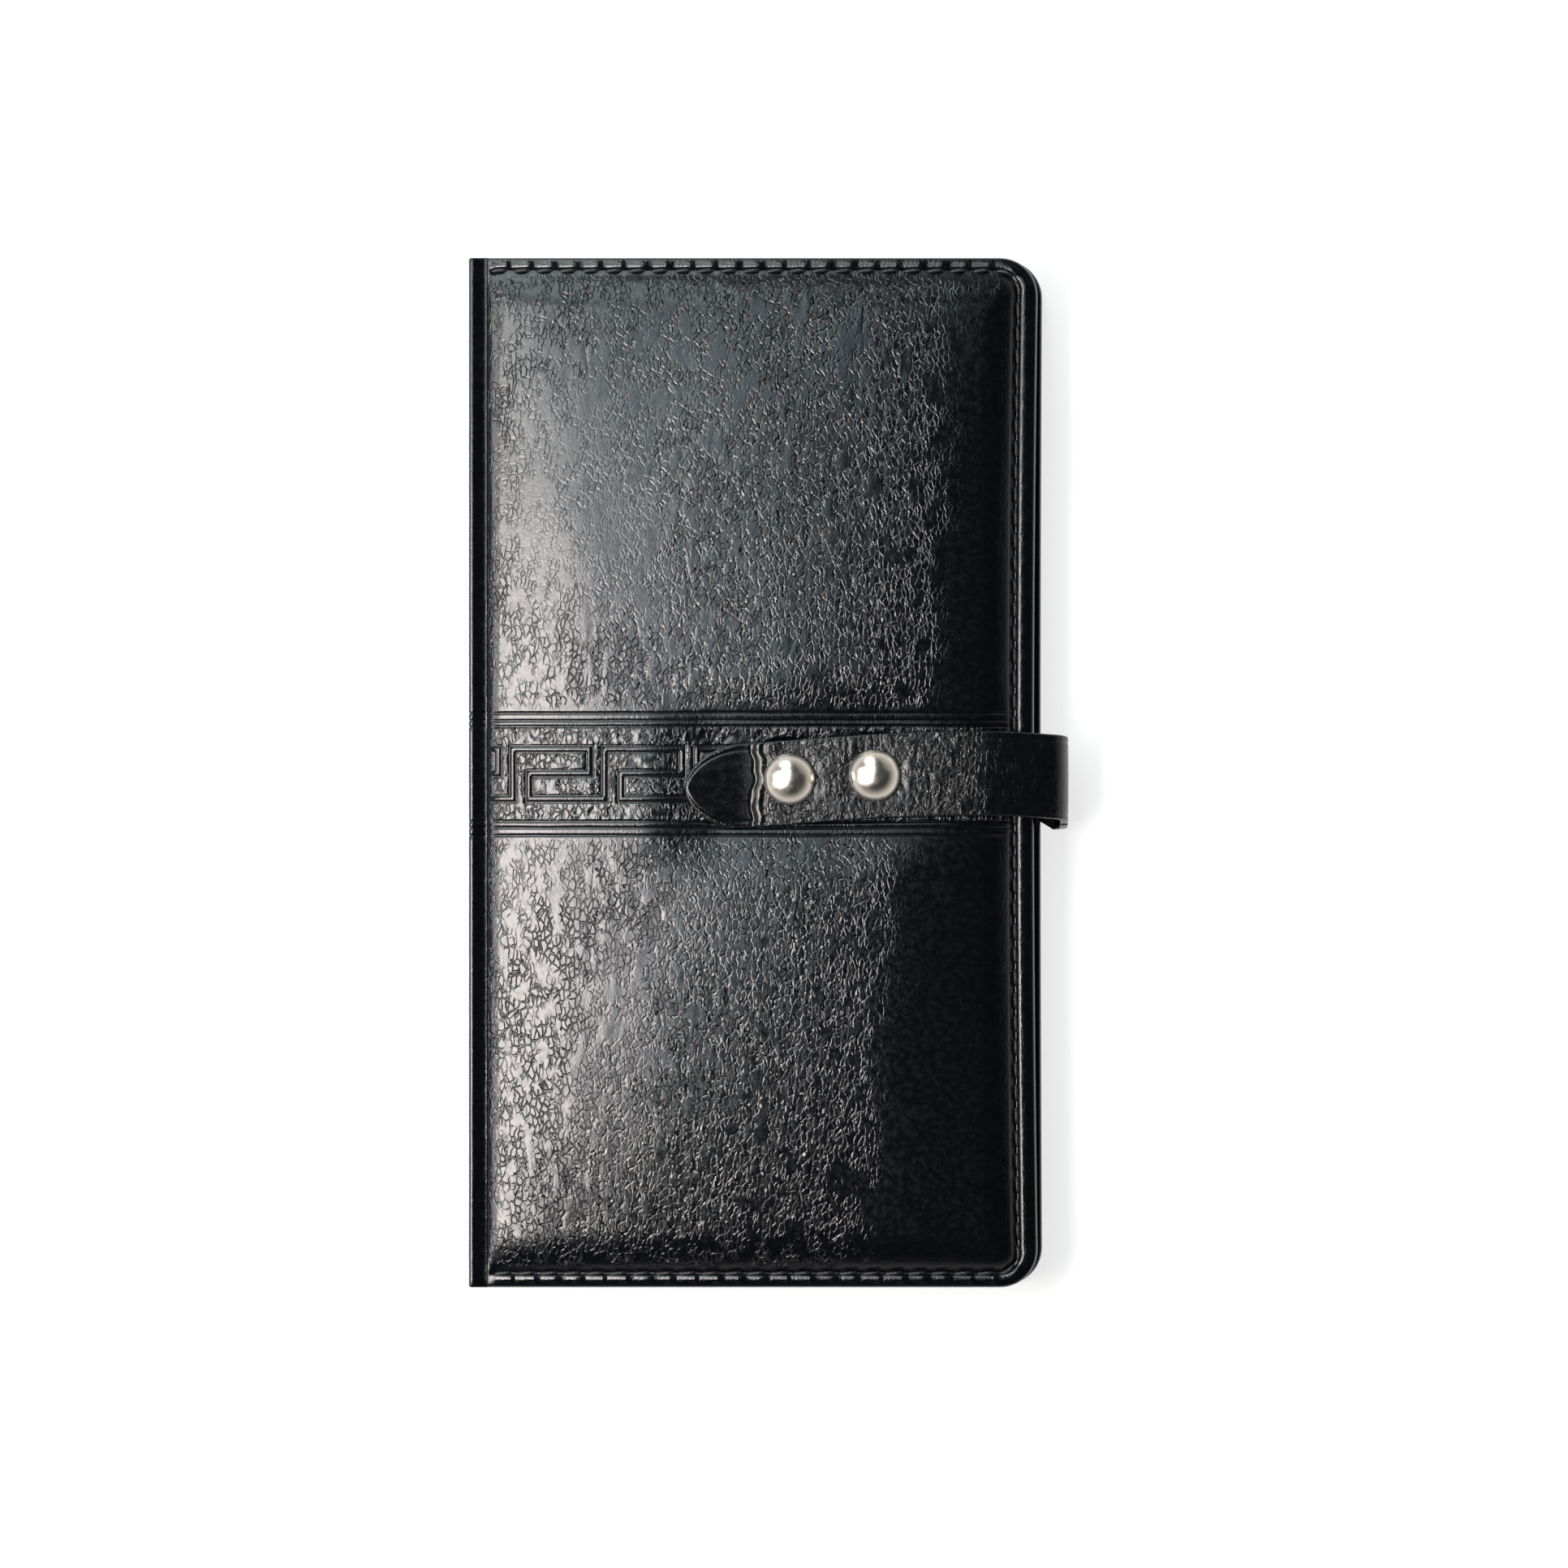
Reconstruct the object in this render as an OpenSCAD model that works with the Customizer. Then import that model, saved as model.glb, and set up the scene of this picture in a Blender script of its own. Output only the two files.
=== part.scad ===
// Padded leather notebook cover for a slim notebook insert, closed by a strap with two snap fasteners.
// The closed cover lies on its back: +X is the fore-edge, +Y the head, +Z the front cover.
// The origin is the middle of the back cover's padded face, which is what it rests on.

/* [Cover] */
// Height of the cover along the spine
cover_h = 188; // [180:1:196]
// Width of the back cover, from spine to fore-edge
back_w = 105; // [103:0.5:107]
// How much narrower the front cover is than the back cover
front_step = 1; // [0.5:0.5:2]
// Closed thickness over both padded panels
total_t = 17.6; // [17.6:0.1:18]
// Radius of the four fore-edge corners
corner_r = 7; // [6:0.5:10]
// Outer radius of the leather where it turns onto the spine
spine_r = 3.5; // [3.3:0.1:3.7]

/* [Padded panels] */
// Height of the padding above the sewn border
pad_rise = 1.8; // [1.6:0.1:2]
// Width of the sewn border
border_w = 4; // [3.8:0.1:4.4]
// Width of the slope between border and padded face
pad_slope = 2.5; // [2:0.1:4]
// Distance of the seam from the edge
seam_inset = 2.7; // [2.5:0.1:2.9]
// Distance from one stitch to the next
stitch_pitch = 4.2; // [3.8:0.1:5]

/* [Layers] */
// Thickness of the cover leather
leather_t = 1; // [0.9:0.1:1.1]
// Thickness of the foam under the leather
foam_t = 1.6; // [1.4:0.1:1.6]
// Thickness of the stiffening board
board_t = 1.2; // [1:0.1:1.2]
// Thickness of the lining and of the inner sleeves
lining_t = 0.5; // [0.4:0.05:0.5]
// Thickness of the insert's card cover
card_t = 0.4; // [0.3:0.05:0.4]

/* [Insert] */
// Page width
page_w = 95; // [90:0.5:95]
// Page height
page_h = 176; // [170:1:177]
// Thickness of the leaves that turn with the front cover
leaves_t = 0.9; // [0.6:0.1:1]

/* [Strap] */
// Width of the strap
strap_w = 15.4; // [14:0.2:17]
// Thickness of the strap leather
strap_t = 1.5; // [1.3:0.1:1.5]
// Length of the tapered tip
tip_l = 10; // [8:0.5:12]

/* [Snap fasteners] */
// Radius of the domed caps
cap_r = 4.7; // [4.5:0.1:5]
// Height of the dome
dome_h = 2.5; // [2:0.1:3]
// Radius of the stud's head
head_r = 1.95; // [1.9:0.05:2]

/* [Hidden] */
$fn = 48;

// Small gap between separate pieces that lie on each other, and the overshoot of a cutting tool.
gap = 0.05;
over = 1;

// Where the cover starts at the spine, and the front cover's width.
spine_x = -back_w / 2;
front_w = back_w - front_step;

// Layers of one cover, measured inwards from its padded face.
z_foam = leather_t;
z_board = z_foam + foam_t;
z_lining = z_board + board_t;
z_card = z_lining + lining_t + gap;
z_sleeve = z_card + card_t + gap;
z_inside = z_sleeve + lining_t;

// Where the flat leather meets the turn onto the spine, and where the padding starts.
turn_x = spine_x + spine_r;
turn_z = pad_rise + spine_r;
pad_x = turn_x + 0.6;
joint_deg = 2;

// Seam groove and thread.
groove_w = 0.8;
groove_d = 0.35;
thread_r = 0.3;
stitch_l = 3.3;

// Text block.
page_x = -47.8;
block_z = z_inside + 0.1;
front_card_z = total_t - z_inside - 0.1 - card_t;
leaves_z = front_card_z - gap - leaves_t;

// Sleeves reach from the fore-edge seam to here, and are sewn along a rim.
sleeve_x = 2;
sleeve_inset = 1.6;
lining_inset = 1.5;
rim_w = 2.9;

// Strap: centres and centreline radius of the two bends round the fore-edge, and its flat tab in the seam.
bend_r = 3.7;
bend_x = 52.6;
bend_low_z = 7;
bend_high_z = 13.5;
tab_l = 12;
tab_t = 1;
tab_z = bend_low_z - bend_r;
tab_y = -3.6;
// The flap leaves the upper bend here and rises to the padding.
flap_start_deg = 78;
strap_z = total_t + 2.35;
flap_line = [
    [45, strap_z - 1.05], [38, strap_z - 0.3], [29, strap_z], [0.5, strap_z],
    [-1.5, strap_z - 0.65], [-5.5, strap_z - 0.7], [-9.5, strap_z - 0.25], [-13, strap_z + 0.25]
];
tip_x = -13;
tip_power = 1.85;
// Middle of the strap across its width, by distance along X on the flap and by height on the side.
flap_y = [[-13, -2.7], [-6, -2.6], [2, -2.1], [10, -1.45], [22, -0.6], [32, -0.2], [45, -0.1], [55.3, -0.8]];
side_y = [[3.3, -3.6], [7, -2.9], [10.2, -1.9], [13.5, -1.2], [16.2, -0.8]];

// Snap fasteners: where they stand, and the heights of their pieces.
snap_left = [6.1, -1.2];
snap_right = [21.6, -0.5];
dimple_z = total_t - 0.8;
dimple_r = 4.8;
stud_base_r = 3.9;
stud_base_t = 0.5;
neck_r = 1.5;
neck_t = 0.6;
head_h = 1.2;
post_r = 1.2;
post_flange_r = 3.8;
post_flange_t = 0.4;
socket_r = 4.5;
socket_bore_r = 2.05;
socket_z = dimple_z + stud_base_t + 0.1;
strap_low_z = strap_z - strap_t / 2;
shank_r = 1.5;
cap_rim_t = 0.3;
wire_r = 0.2;
ring_r = neck_r + 0.05 + wire_r;
ring_z = dimple_z + stud_base_t + neck_t / 2;

// --- Shared shapes -------------------------------------------------------------------------------

function arc(x, y, r, from, to, steps = 10) =
    [for (i = [0 : steps]) let (a = from + (to - from) * i / steps) [x + r * cos(a), y + r * sin(a)]];

// Outline of a panel with square corners at the spine side and round ones at the fore-edge.
function panel(w, inset, from_x, r = corner_r) =
    let (x = spine_x + w - inset, y = cover_h / 2 - inset, q = max(r - inset, 0.8))
    concat(
        [[from_x, -y]], arc(x - q, q - y, q, -90, 0),
        arc(x - q, y - q, q, 0, 90), [[from_x, y]]
    );

module plate(outline, z, t) {
    translate([0, 0, z]) linear_extrude(t) polygon(outline);
}

// A solid between one outline at height z0 and another at z1.
module frustum(outline0, z0, outline1, z1) {
    skin = 0.02;
    hull() {
        plate(outline0, z0, skin);
        plate(outline1, z1 - skin, skin);
    }
}

// The front cover's layers are the back cover's, turned over.
module on_front() {
    translate([0, 0, total_t]) mirror([0, 0, 1]) children();
}

// A stretch of the leather's turn onto the spine, between two angles.
module spine_turn(from, to) {
    translate([turn_x, cover_h / 2, turn_z]) rotate([90, 0, 0])
        intersection() {
            difference() {
                cylinder(h = cover_h, r = spine_r);
                translate([0, 0, -over]) cylinder(h = cover_h + 2 * over, r = spine_r - leather_t);
            }
            reach = 2 * spine_r;
            linear_extrude(cover_h) polygon([
                [0, 0], reach * [cos(from), sin(from)],
                1.2 * reach * [cos((from + to) / 2), sin((from + to) / 2)], reach * [cos(to), sin(to)]
            ]);
        }
}

// --- One cover, lying on its padded face ---------------------------------------------------------

module cover_leather(w) {
    difference() {
        union() {
            plate(panel(w, 0, turn_x), pad_rise, z_lining - pad_rise);
            frustum(
                panel(w, border_w + pad_slope, pad_x + pad_slope), 0,
                panel(w, border_w, pad_x), pad_rise + 0.1
            );
        }
        foam_pocket(w, 0);
        plate(panel(w, border_w, pad_x), z_board, board_t + over);
        seam_groove(w);
    }
    spine_turn(225 + joint_deg, 270);
}

module foam_pocket(w, less) {
    frustum(
        panel(w, border_w + pad_slope + 0.5 + less, pad_x + pad_slope + 0.5 + less), z_foam + less,
        panel(w, border_w + 0.8 + less, pad_x + 0.8 + less), z_board + 0.01
    );
}

module seam_groove(w) {
    difference() {
        plate(panel(w, seam_inset - groove_w / 2, turn_x), pad_rise - over, over + groove_d);
        plate(panel(w, seam_inset + groove_w / 2, turn_x - over), pad_rise - 2 * over, 3 * over + groove_d);
    }
}

module cover_foam(w) {
    intersection() {
        foam_pocket(w, gap);
        plate(panel(w, 0, turn_x), 0, z_board - gap);
    }
}

module cover_board(w) {
    plate(panel(w, border_w + gap, pad_x + gap), z_board, board_t);
}

module cover_lining(w) {
    plate(panel(w, lining_inset, turn_x + 0.5), z_lining, lining_t);
}

// A pocket that opens towards the spine: a rim sewn to the lining on three sides, and a panel on it.
module cover_sleeve(w) {
    z_rim = z_lining + lining_t;
    difference() {
        plate(panel(w, sleeve_inset, sleeve_x), z_rim, z_inside - z_rim);
        plate(panel(w, sleeve_inset + rim_w, sleeve_x - over), z_rim - over, z_sleeve - z_rim + over);
    }
}

// Place and direction on the seam, by distance from its start at the head of the spine.
function seam_place(w, d) =
    let (
        x = spine_x + w - seam_inset, y = cover_h / 2 - seam_inset, r = corner_r - seam_inset,
        run = x - r - turn_x, turn = r * PI / 2, rise = 2 * (y - r),
        a1 = run, a2 = a1 + turn, a3 = a2 + rise, a4 = a3 + turn
    )
    d < a1 ? [turn_x + d, y, 0] :
    d < a2 ? let (a = (d - a1) / turn * 90) [x - r + r * sin(a), y - r + r * cos(a), -a] :
    d < a3 ? [x, y - r - (d - a2), -90] :
    d < a4 ? let (a = (d - a3) / turn * 90) [x - r + r * cos(a), r - y - r * sin(a), -90 - a] :
    [x - r - (d - a4), -y, 180];

function seam_length(w) =
    let (r = corner_r - seam_inset)
    2 * (spine_x + w - seam_inset - r - turn_x) + PI * r + 2 * (cover_h / 2 - seam_inset - r);

module cover_stitching(w) {
    count = floor(seam_length(w) / stitch_pitch);
    pitch = seam_length(w) / count;
    for (i = [0 : count - 1]) {
        p = seam_place(w, (i + 0.5) * pitch);
        translate([p.x, p.y, pad_rise + groove_d - thread_r]) rotate([0, 90, p.z])
            cylinder(h = stitch_l, r = thread_r, center = true, $fn = 24);
    }
}

// --- Back cover ----------------------------------------------------------------------------------

// Room for the strap's tab between the leather and the lining.
module tab_slot(from_z, height) {
    side_gap = 0.2;
    translate([bend_x - tab_l - side_gap, tab_y - strap_w / 2 - side_gap, from_z])
        cube([tab_l + over, strap_w + 2 * side_gap, height]);
}

module back_leather() {
    color([0.02, 0.02, 0.025]) difference() {
        cover_leather(back_w);
        tab_slot(tab_z - tab_t / 2 - gap, tab_t + over);
    }
}

module back_foam() {
    color([0.25, 0.25, 0.26]) cover_foam(back_w);
}

module back_board() {
    color([0.45, 0.42, 0.38]) difference() {
        cover_board(back_w);
        tab_slot(0, total_t / 2);
    }
}

module back_lining() {
    color([0.05, 0.05, 0.055]) cover_lining(back_w);
}

module back_sleeve() {
    color([0.04, 0.04, 0.045]) cover_sleeve(back_w);
}

module back_stitching() {
    color([0.015, 0.015, 0.02]) cover_stitching(back_w);
}

// --- Front cover ---------------------------------------------------------------------------------

module at_snaps() {
    for (p = [snap_left, snap_right]) translate([p.x, p.y, 0]) children();
}

module front_leather() {
    seat_t = 1;
    color([0.02, 0.02, 0.025]) difference() {
        union() {
            difference() {
                on_front() cover_leather(front_w);
                at_snaps() translate([0, 0, dimple_z]) cylinder(h = total_t, r = dimple_r);
            }
            at_snaps() translate([0, 0, dimple_z - seat_t]) cylinder(h = seat_t, r = dimple_r + 0.8);
        }
        at_snaps() cylinder(h = total_t, r = post_r + gap);
    }
}

module front_foam() {
    color([0.25, 0.25, 0.26]) difference() {
        on_front() cover_foam(front_w);
        at_snaps() cylinder(h = 2 * total_t, r = dimple_r + 0.9);
    }
}

module front_board() {
    color([0.45, 0.42, 0.38]) on_front() cover_board(front_w);
}

module front_lining() {
    color([0.05, 0.05, 0.055]) on_front() cover_lining(front_w);
}

module front_sleeve() {
    color([0.04, 0.04, 0.045]) on_front() cover_sleeve(front_w);
}

module front_stitching() {
    color([0.015, 0.015, 0.02]) on_front() cover_stitching(front_w);
}

// --- Spine ---------------------------------------------------------------------------------------

module spine_leather() {
    color([0.02, 0.02, 0.025]) {
        translate([spine_x, -cover_h / 2, turn_z]) cube([leather_t, cover_h, total_t - 2 * turn_z]);
        spine_turn(180, 225 - joint_deg);
        on_front() spine_turn(180, 225 - joint_deg);
    }
}

module spine_board() {
    margin = 3;
    color([0.45, 0.42, 0.38])
        translate([spine_x + leather_t, margin - cover_h / 2, turn_z + 0.2])
            cube([board_t, cover_h - 2 * margin, total_t - 2 * turn_z - 0.4]);
}

module spine_lining() {
    margin = 2;
    color([0.05, 0.05, 0.055])
        translate([spine_x + leather_t + board_t, margin - cover_h / 2, turn_z - 0.4])
            cube([lining_t, cover_h - 2 * margin, total_t - 2 * turn_z + 0.8]);
}

// --- Notebook insert -----------------------------------------------------------------------------

module insert_card(from_x, z) {
    translate([from_x, -page_h / 2, z]) cube([page_x + page_w - from_x, page_h, card_t]);
}

module insert_back_card() {
    color([0.16, 0.16, 0.17]) insert_card(page_x - card_t - gap, z_card);
}

module insert_front_card() {
    color([0.16, 0.16, 0.17]) insert_card(page_x, front_card_z);
}

module insert_spine_card() {
    low = z_card + card_t + gap;
    color([0.16, 0.16, 0.17])
        translate([page_x - card_t - gap, -page_h / 2, low]) cube([card_t, page_h, leaves_z - gap - low]);
}

module page_block() {
    color([0.93, 0.91, 0.85])
        translate([page_x, -page_h / 2, block_z]) cube([page_w, page_h, leaves_z - gap - block_z]);
}

module front_pages() {
    color([0.93, 0.91, 0.85])
        translate([page_x, -page_h / 2, leaves_z]) cube([page_w, page_h, leaves_t]);
}

// --- Strap ---------------------------------------------------------------------------------------

// A strip of rectangular section along points [x, z, half thickness], its middle in Y given for each.
module strip(line, middle) {
    n = len(line);
    corners = [for (i = [0 : n - 1])
        let (
            ahead = line[min(i + 1, n - 1)], behind = line[max(i - 1, 0)],
            step = [ahead.x - behind.x, ahead.y - behind.y],
            side = [-step.y, step.x] / norm(step) * line[i].z,
            a = [line[i].x, line[i].y] + side, b = [line[i].x, line[i].y] - side
        )
        each [
            [a.x, middle[i] - strap_w / 2, a.y], [a.x, middle[i] + strap_w / 2, a.y],
            [b.x, middle[i] + strap_w / 2, b.y], [b.x, middle[i] - strap_w / 2, b.y]
        ]
    ];
    ends = [[0, 1, 2, 3], [for (k = [3 : -1 : 0]) 4 * (n - 1) + k]];
    sides = [for (i = [0 : n - 2], k = [0 : 3])
        [4 * i + k, 4 * (i + 1) + k, 4 * (i + 1) + (k + 1) % 4, 4 * i + (k + 1) % 4]];
    polyhedron(points = corners, faces = concat(ends, sides), convexity = 4);
}

function thick(points) = [for (p = points) [p.x, p.y, strap_t / 2]];

module strap_root() {
    line = concat(
        [[bend_x - tab_l, tab_z, tab_t / 2], [bend_x - 0.2, tab_z, tab_t / 2]],
        thick(arc(bend_x, bend_low_z, bend_r, 274, 315 - joint_deg, 5))
    );
    color([0.025, 0.025, 0.03]) strip(line, [for (p = line) lookup(p.y, side_y)]);
}

module strap_side() {
    line = thick(concat(
        arc(bend_x, bend_low_z, bend_r, 315 + joint_deg, 360, 5),
        [[bend_x + bend_r, (bend_low_z + bend_high_z) / 2]],
        arc(bend_x, bend_high_z, bend_r, 0, 45 - joint_deg, 5)
    ));
    color([0.025, 0.025, 0.03]) strip(line, [for (p = line) lookup(p.y, side_y)]);
}

// The flap is its side profile, cut to its outline as seen from above.
module strap_flap() {
    line = concat(arc(bend_x, bend_high_z, bend_r, 45 + joint_deg, flap_start_deg, 4), flap_line);
    n = len(line);
    function offset_at(i, s) =
        let (d = line[min(i + 1, n - 1)] - line[max(i - 1, 0)])
        line[i] + s * strap_t / 2 * [-d.y, d.x] / norm(d);
    profile = concat(
        [for (i = [0 : n - 1]) offset_at(i, 1)], [for (i = [n - 1 : -1 : 0]) offset_at(i, -1)]
    );
    function half_width(x) =
        let (u = min(max(0, (tip_x + tip_l - x) / tip_l), 1))
        strap_w / 2 * pow(1 - pow(u, tip_power), 1 / tip_power);
    tip_steps = 14;
    tip = [for (i = [0 : tip_steps]) tip_x + tip_l * pow(i / tip_steps, 2)];
    rest = [for (p = flap_y) if (p[0] > tip_x + tip_l) p[0]];
    xs = concat(tip, rest, [58]);
    outline = concat(
        [for (x = xs) [x, lookup(x, flap_y) - half_width(x)]],
        [for (i = [len(xs) - 1 : -1 : 1]) [xs[i], lookup(xs[i], flap_y) + half_width(xs[i])]]
    );
    color([0.025, 0.025, 0.03]) difference() {
        intersection() {
            translate([0, 20, 0]) rotate([90, 0, 0]) linear_extrude(40) polygon(profile);
            plate(outline, 0, 2 * total_t);
        }
        at_snaps() cylinder(h = 2 * total_t, r = shank_r + gap);
    }
}

// --- Snap fasteners ------------------------------------------------------------------------------

module snap_cap(p) {
    dome_r = (pow(cap_r, 2) + pow(dome_h, 2)) / (2 * dome_h);
    low = strap_z + strap_t / 2;
    color([0.82, 0.8, 0.77]) translate([p.x, p.y, low]) {
        rotate_extrude() intersection() {
            translate([0, cap_rim_t + dome_h - dome_r]) circle(dome_r, $fn = 96);
            translate([0, cap_rim_t]) square([cap_r, dome_h]);
        }
        cylinder(h = cap_rim_t, r = cap_r);
        translate([0, 0, -strap_t]) cylinder(h = strap_t, r = shank_r);
    }
}

module snap_socket(p) {
    ring_groove_h = 2 * wire_r + 0.1;
    color([0.7, 0.69, 0.66]) translate([p.x, p.y, 0]) difference() {
        translate([0, 0, socket_z]) cylinder(h = strap_low_z - socket_z, r = socket_r);
        cylinder(h = 2 * total_t, r = socket_bore_r);
        translate([0, 0, ring_z - ring_groove_h / 2]) cylinder(h = ring_groove_h, r = ring_r + wire_r + 0.3);
    }
}

// The split wire ring that springs over the stud's head.
module spring_ring(p) {
    split_deg = 40;
    color([0.6, 0.6, 0.6]) translate([p.x, p.y, ring_z]) rotate([0, 0, split_deg / 2])
        rotate_extrude(angle = 360 - split_deg) translate([ring_r, 0]) circle(wire_r, $fn = 24);
}

module stud(p) {
    color([0.72, 0.71, 0.68]) translate([p.x, p.y, dimple_z]) difference() {
        union() {
            cylinder(h = stud_base_t, r = stud_base_r);
            cylinder(h = stud_base_t + neck_t, r = neck_r);
            translate([0, 0, stud_base_t + neck_t]) cylinder(h = head_h, r = head_r);
        }
        translate([0, 0, -over]) cylinder(h = over + stud_base_t + neck_t, r = post_r + gap);
    }
}

// The eyelet post that holds the stud from inside the leather.
module stud_post(p) {
    seat_z = dimple_z - 1;
    color([0.6, 0.6, 0.58]) translate([p.x, p.y, 0]) {
        translate([0, 0, seat_z - post_flange_t]) cylinder(h = post_flange_t, r = post_flange_r);
        translate([0, 0, seat_z - gap]) cylinder(h = 1 + stud_base_t + neck_t, r = post_r);
    }
}

back_leather();
back_foam();
back_board();
back_lining();
back_sleeve();
back_stitching();
insert_back_card();
insert_spine_card();
page_block();
strap_root();
spine_leather();
spine_board();
spine_lining();
front_leather();
front_foam();
front_board();
front_lining();
front_sleeve();
front_stitching();
stud(snap_left);  // stud_left
stud(snap_right);  // stud_right
stud_post(snap_left);  // stud_post_left
stud_post(snap_right);  // stud_post_right
insert_front_card();
front_pages();
strap_side();
strap_flap();
snap_cap(snap_left);  // snap_cap_left
snap_cap(snap_right);  // snap_cap_right
snap_socket(snap_left);  // snap_socket_left
snap_socket(snap_right);  // snap_socket_right
spring_ring(snap_left);  // spring_ring_left
spring_ring(snap_right);  // spring_ring_right
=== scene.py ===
"""Looks of the padded leather notebook cover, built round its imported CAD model.

The frame is the CAD's: +X from spine to fore-edge, +Y to the head, +Z from the back cover to the front cover.
Shapes are worked out in millimetres and written to the meshes in metres.
"""
import math

import bmesh
import bpy
import numpy as np
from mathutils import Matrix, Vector


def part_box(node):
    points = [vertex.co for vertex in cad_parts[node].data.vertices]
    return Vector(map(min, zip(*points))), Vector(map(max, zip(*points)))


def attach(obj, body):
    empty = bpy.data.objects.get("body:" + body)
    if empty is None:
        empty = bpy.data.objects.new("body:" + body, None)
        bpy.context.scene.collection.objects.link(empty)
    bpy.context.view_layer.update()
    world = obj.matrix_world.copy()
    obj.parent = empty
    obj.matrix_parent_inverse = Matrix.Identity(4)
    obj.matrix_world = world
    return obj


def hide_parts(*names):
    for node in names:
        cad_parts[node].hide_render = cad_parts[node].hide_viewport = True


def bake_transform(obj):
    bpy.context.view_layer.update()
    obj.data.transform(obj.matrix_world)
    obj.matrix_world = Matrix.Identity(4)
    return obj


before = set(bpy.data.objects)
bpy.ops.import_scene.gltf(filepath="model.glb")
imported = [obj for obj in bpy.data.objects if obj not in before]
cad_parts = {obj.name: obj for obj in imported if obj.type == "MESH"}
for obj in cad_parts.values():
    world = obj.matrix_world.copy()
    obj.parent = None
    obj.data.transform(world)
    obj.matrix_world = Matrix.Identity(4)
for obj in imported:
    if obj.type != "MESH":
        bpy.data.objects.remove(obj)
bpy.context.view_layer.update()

MM = 0.001


def box_mm(node):
    """A CAD node's lowest and highest corner in millimetres."""
    low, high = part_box(node)
    return np.array(low) / MM, np.array(high) / MM


# --- Sizes, in millimetres ---

FRONT_EDGE_X, HALF_H, TOTAL_T = box_mm("front_leather")[1]
BACK_EDGE_X, _, BACK_T = box_mm("back_leather")[1]
SPINE_X = box_mm("spine_leather")[0][0]

PAD_RISE = 1.8                      # from the sewn border's face to the padded face
FLANGE_T = BACK_T - PAD_RISE        # thickness of the sewn border
CORNER_R = 7.0
SPINE_R = 3.5                       # outer radius of the leather's turn onto the spine
LEATHER_T = 1.0
TURN_X = SPINE_X + SPINE_R
SNAPS = [(box_mm(n)[0] + box_mm(n)[1])[:2] / 2 for n in ("snap_cap_left", "snap_cap_right")]

# The embossed band: its straight lines, and the fret's three levels, widths and repeat along X.
BAND_LINES = (10.8, 9.5, 8.4, -8.9, -10.1, -11.5)
FRET_TOP, FRET_MID, FRET_LOW = 4.3, -0.15, -4.8
FRET_PERIOD, FRET_START, FRET_LONG, FRET_IN = 16.8, -44.4, 14.1, 3.0
FRET_HALF_W = 0.43
FRET_GROOVE = 0.17
FRET_STATIONS = (0.33, 0.46, 0.6, 0.74, 0.9)    # mesh lines at these distances from its centre line

STRAP_PRESS = 1.5                   # how far the strap presses the front padding in
SNAP_SEAT_Z = box_mm("stud_left")[0][2]
# Middle of the strap in Y, along the flap by X and down the side by Z.
FLAP_Y = ((-13, -2.7), (-6, -2.6), (2, -2.1), (10, -1.45), (22, -0.6), (32, -0.2), (45, -0.1), (55.3, -0.8))
SIDE_Y = ((3.3, -2.8), (7, -2.5), (10.2, -1.8), (13.5, -1.2), (16.2, -0.8))

SEAM = 2.7                          # nominal distance of the seam from the edge
RING_W = CORNER_R                   # the sewn border's mesh reaches this far in, where its corners are points
STITCH_PITCH = 4.2


# --- Noise ---

def hashed(ix, iy, seed):
    """A repeatable number from 0 to 1 for each pair of whole numbers."""
    n = np.sin(ix * 127.1 + iy * 311.7 + seed * 74.7) * 43758.5453
    return n - np.floor(n)


def smooth_noise(x, y, seed=0):
    """Gradient noise, about -1 to 1, one bump to each unit square."""
    ix, iy = np.floor(x), np.floor(y)
    fx, fy = x - ix, y - iy

    def corner(dx, dy):
        angle = hashed(ix + dx, iy + dy, seed) * 2 * np.pi
        return np.cos(angle) * (fx - dx) + np.sin(angle) * (fy - dy)

    u, v = fx * fx * (3 - 2 * fx), fy * fy * (3 - 2 * fy)
    low = corner(0, 0) * (1 - u) + corner(1, 0) * u
    high = corner(0, 1) * (1 - u) + corner(1, 1) * u
    return 1.5 * (low * (1 - v) + high * v)


def cell_borders(x, y, seed=0):
    """How much nearer the nearest of scattered points is than the second: 0 on a border between cells."""
    ix, iy = np.floor(x), np.floor(y)
    first = np.full(np.shape(x), 9.0)
    second = np.full(np.shape(x), 9.0)
    for dx in (-1, 0, 1):
        for dy in (-1, 0, 1):
            px = ix + dx + hashed(ix + dx, iy + dy, seed)
            py = iy + dy + hashed(ix + dx, iy + dy, seed + 5)
            d = np.hypot(px - x, py - y)
            second = np.minimum(second, np.maximum(first, d))
            first = np.minimum(first, d)
    return second - first


def ramp(x, start, end):
    """0 before start, 1 after end, smooth between them. Start may be above end."""
    t = np.clip((x - start) / (end - start), 0, 1)
    return t * t * (3 - 2 * t)


def ridge(x, half_width):
    """1 at x = 0, falling smoothly to 0 at half_width."""
    return ramp(np.abs(x), half_width, 0)


# --- Meshes ---

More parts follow.
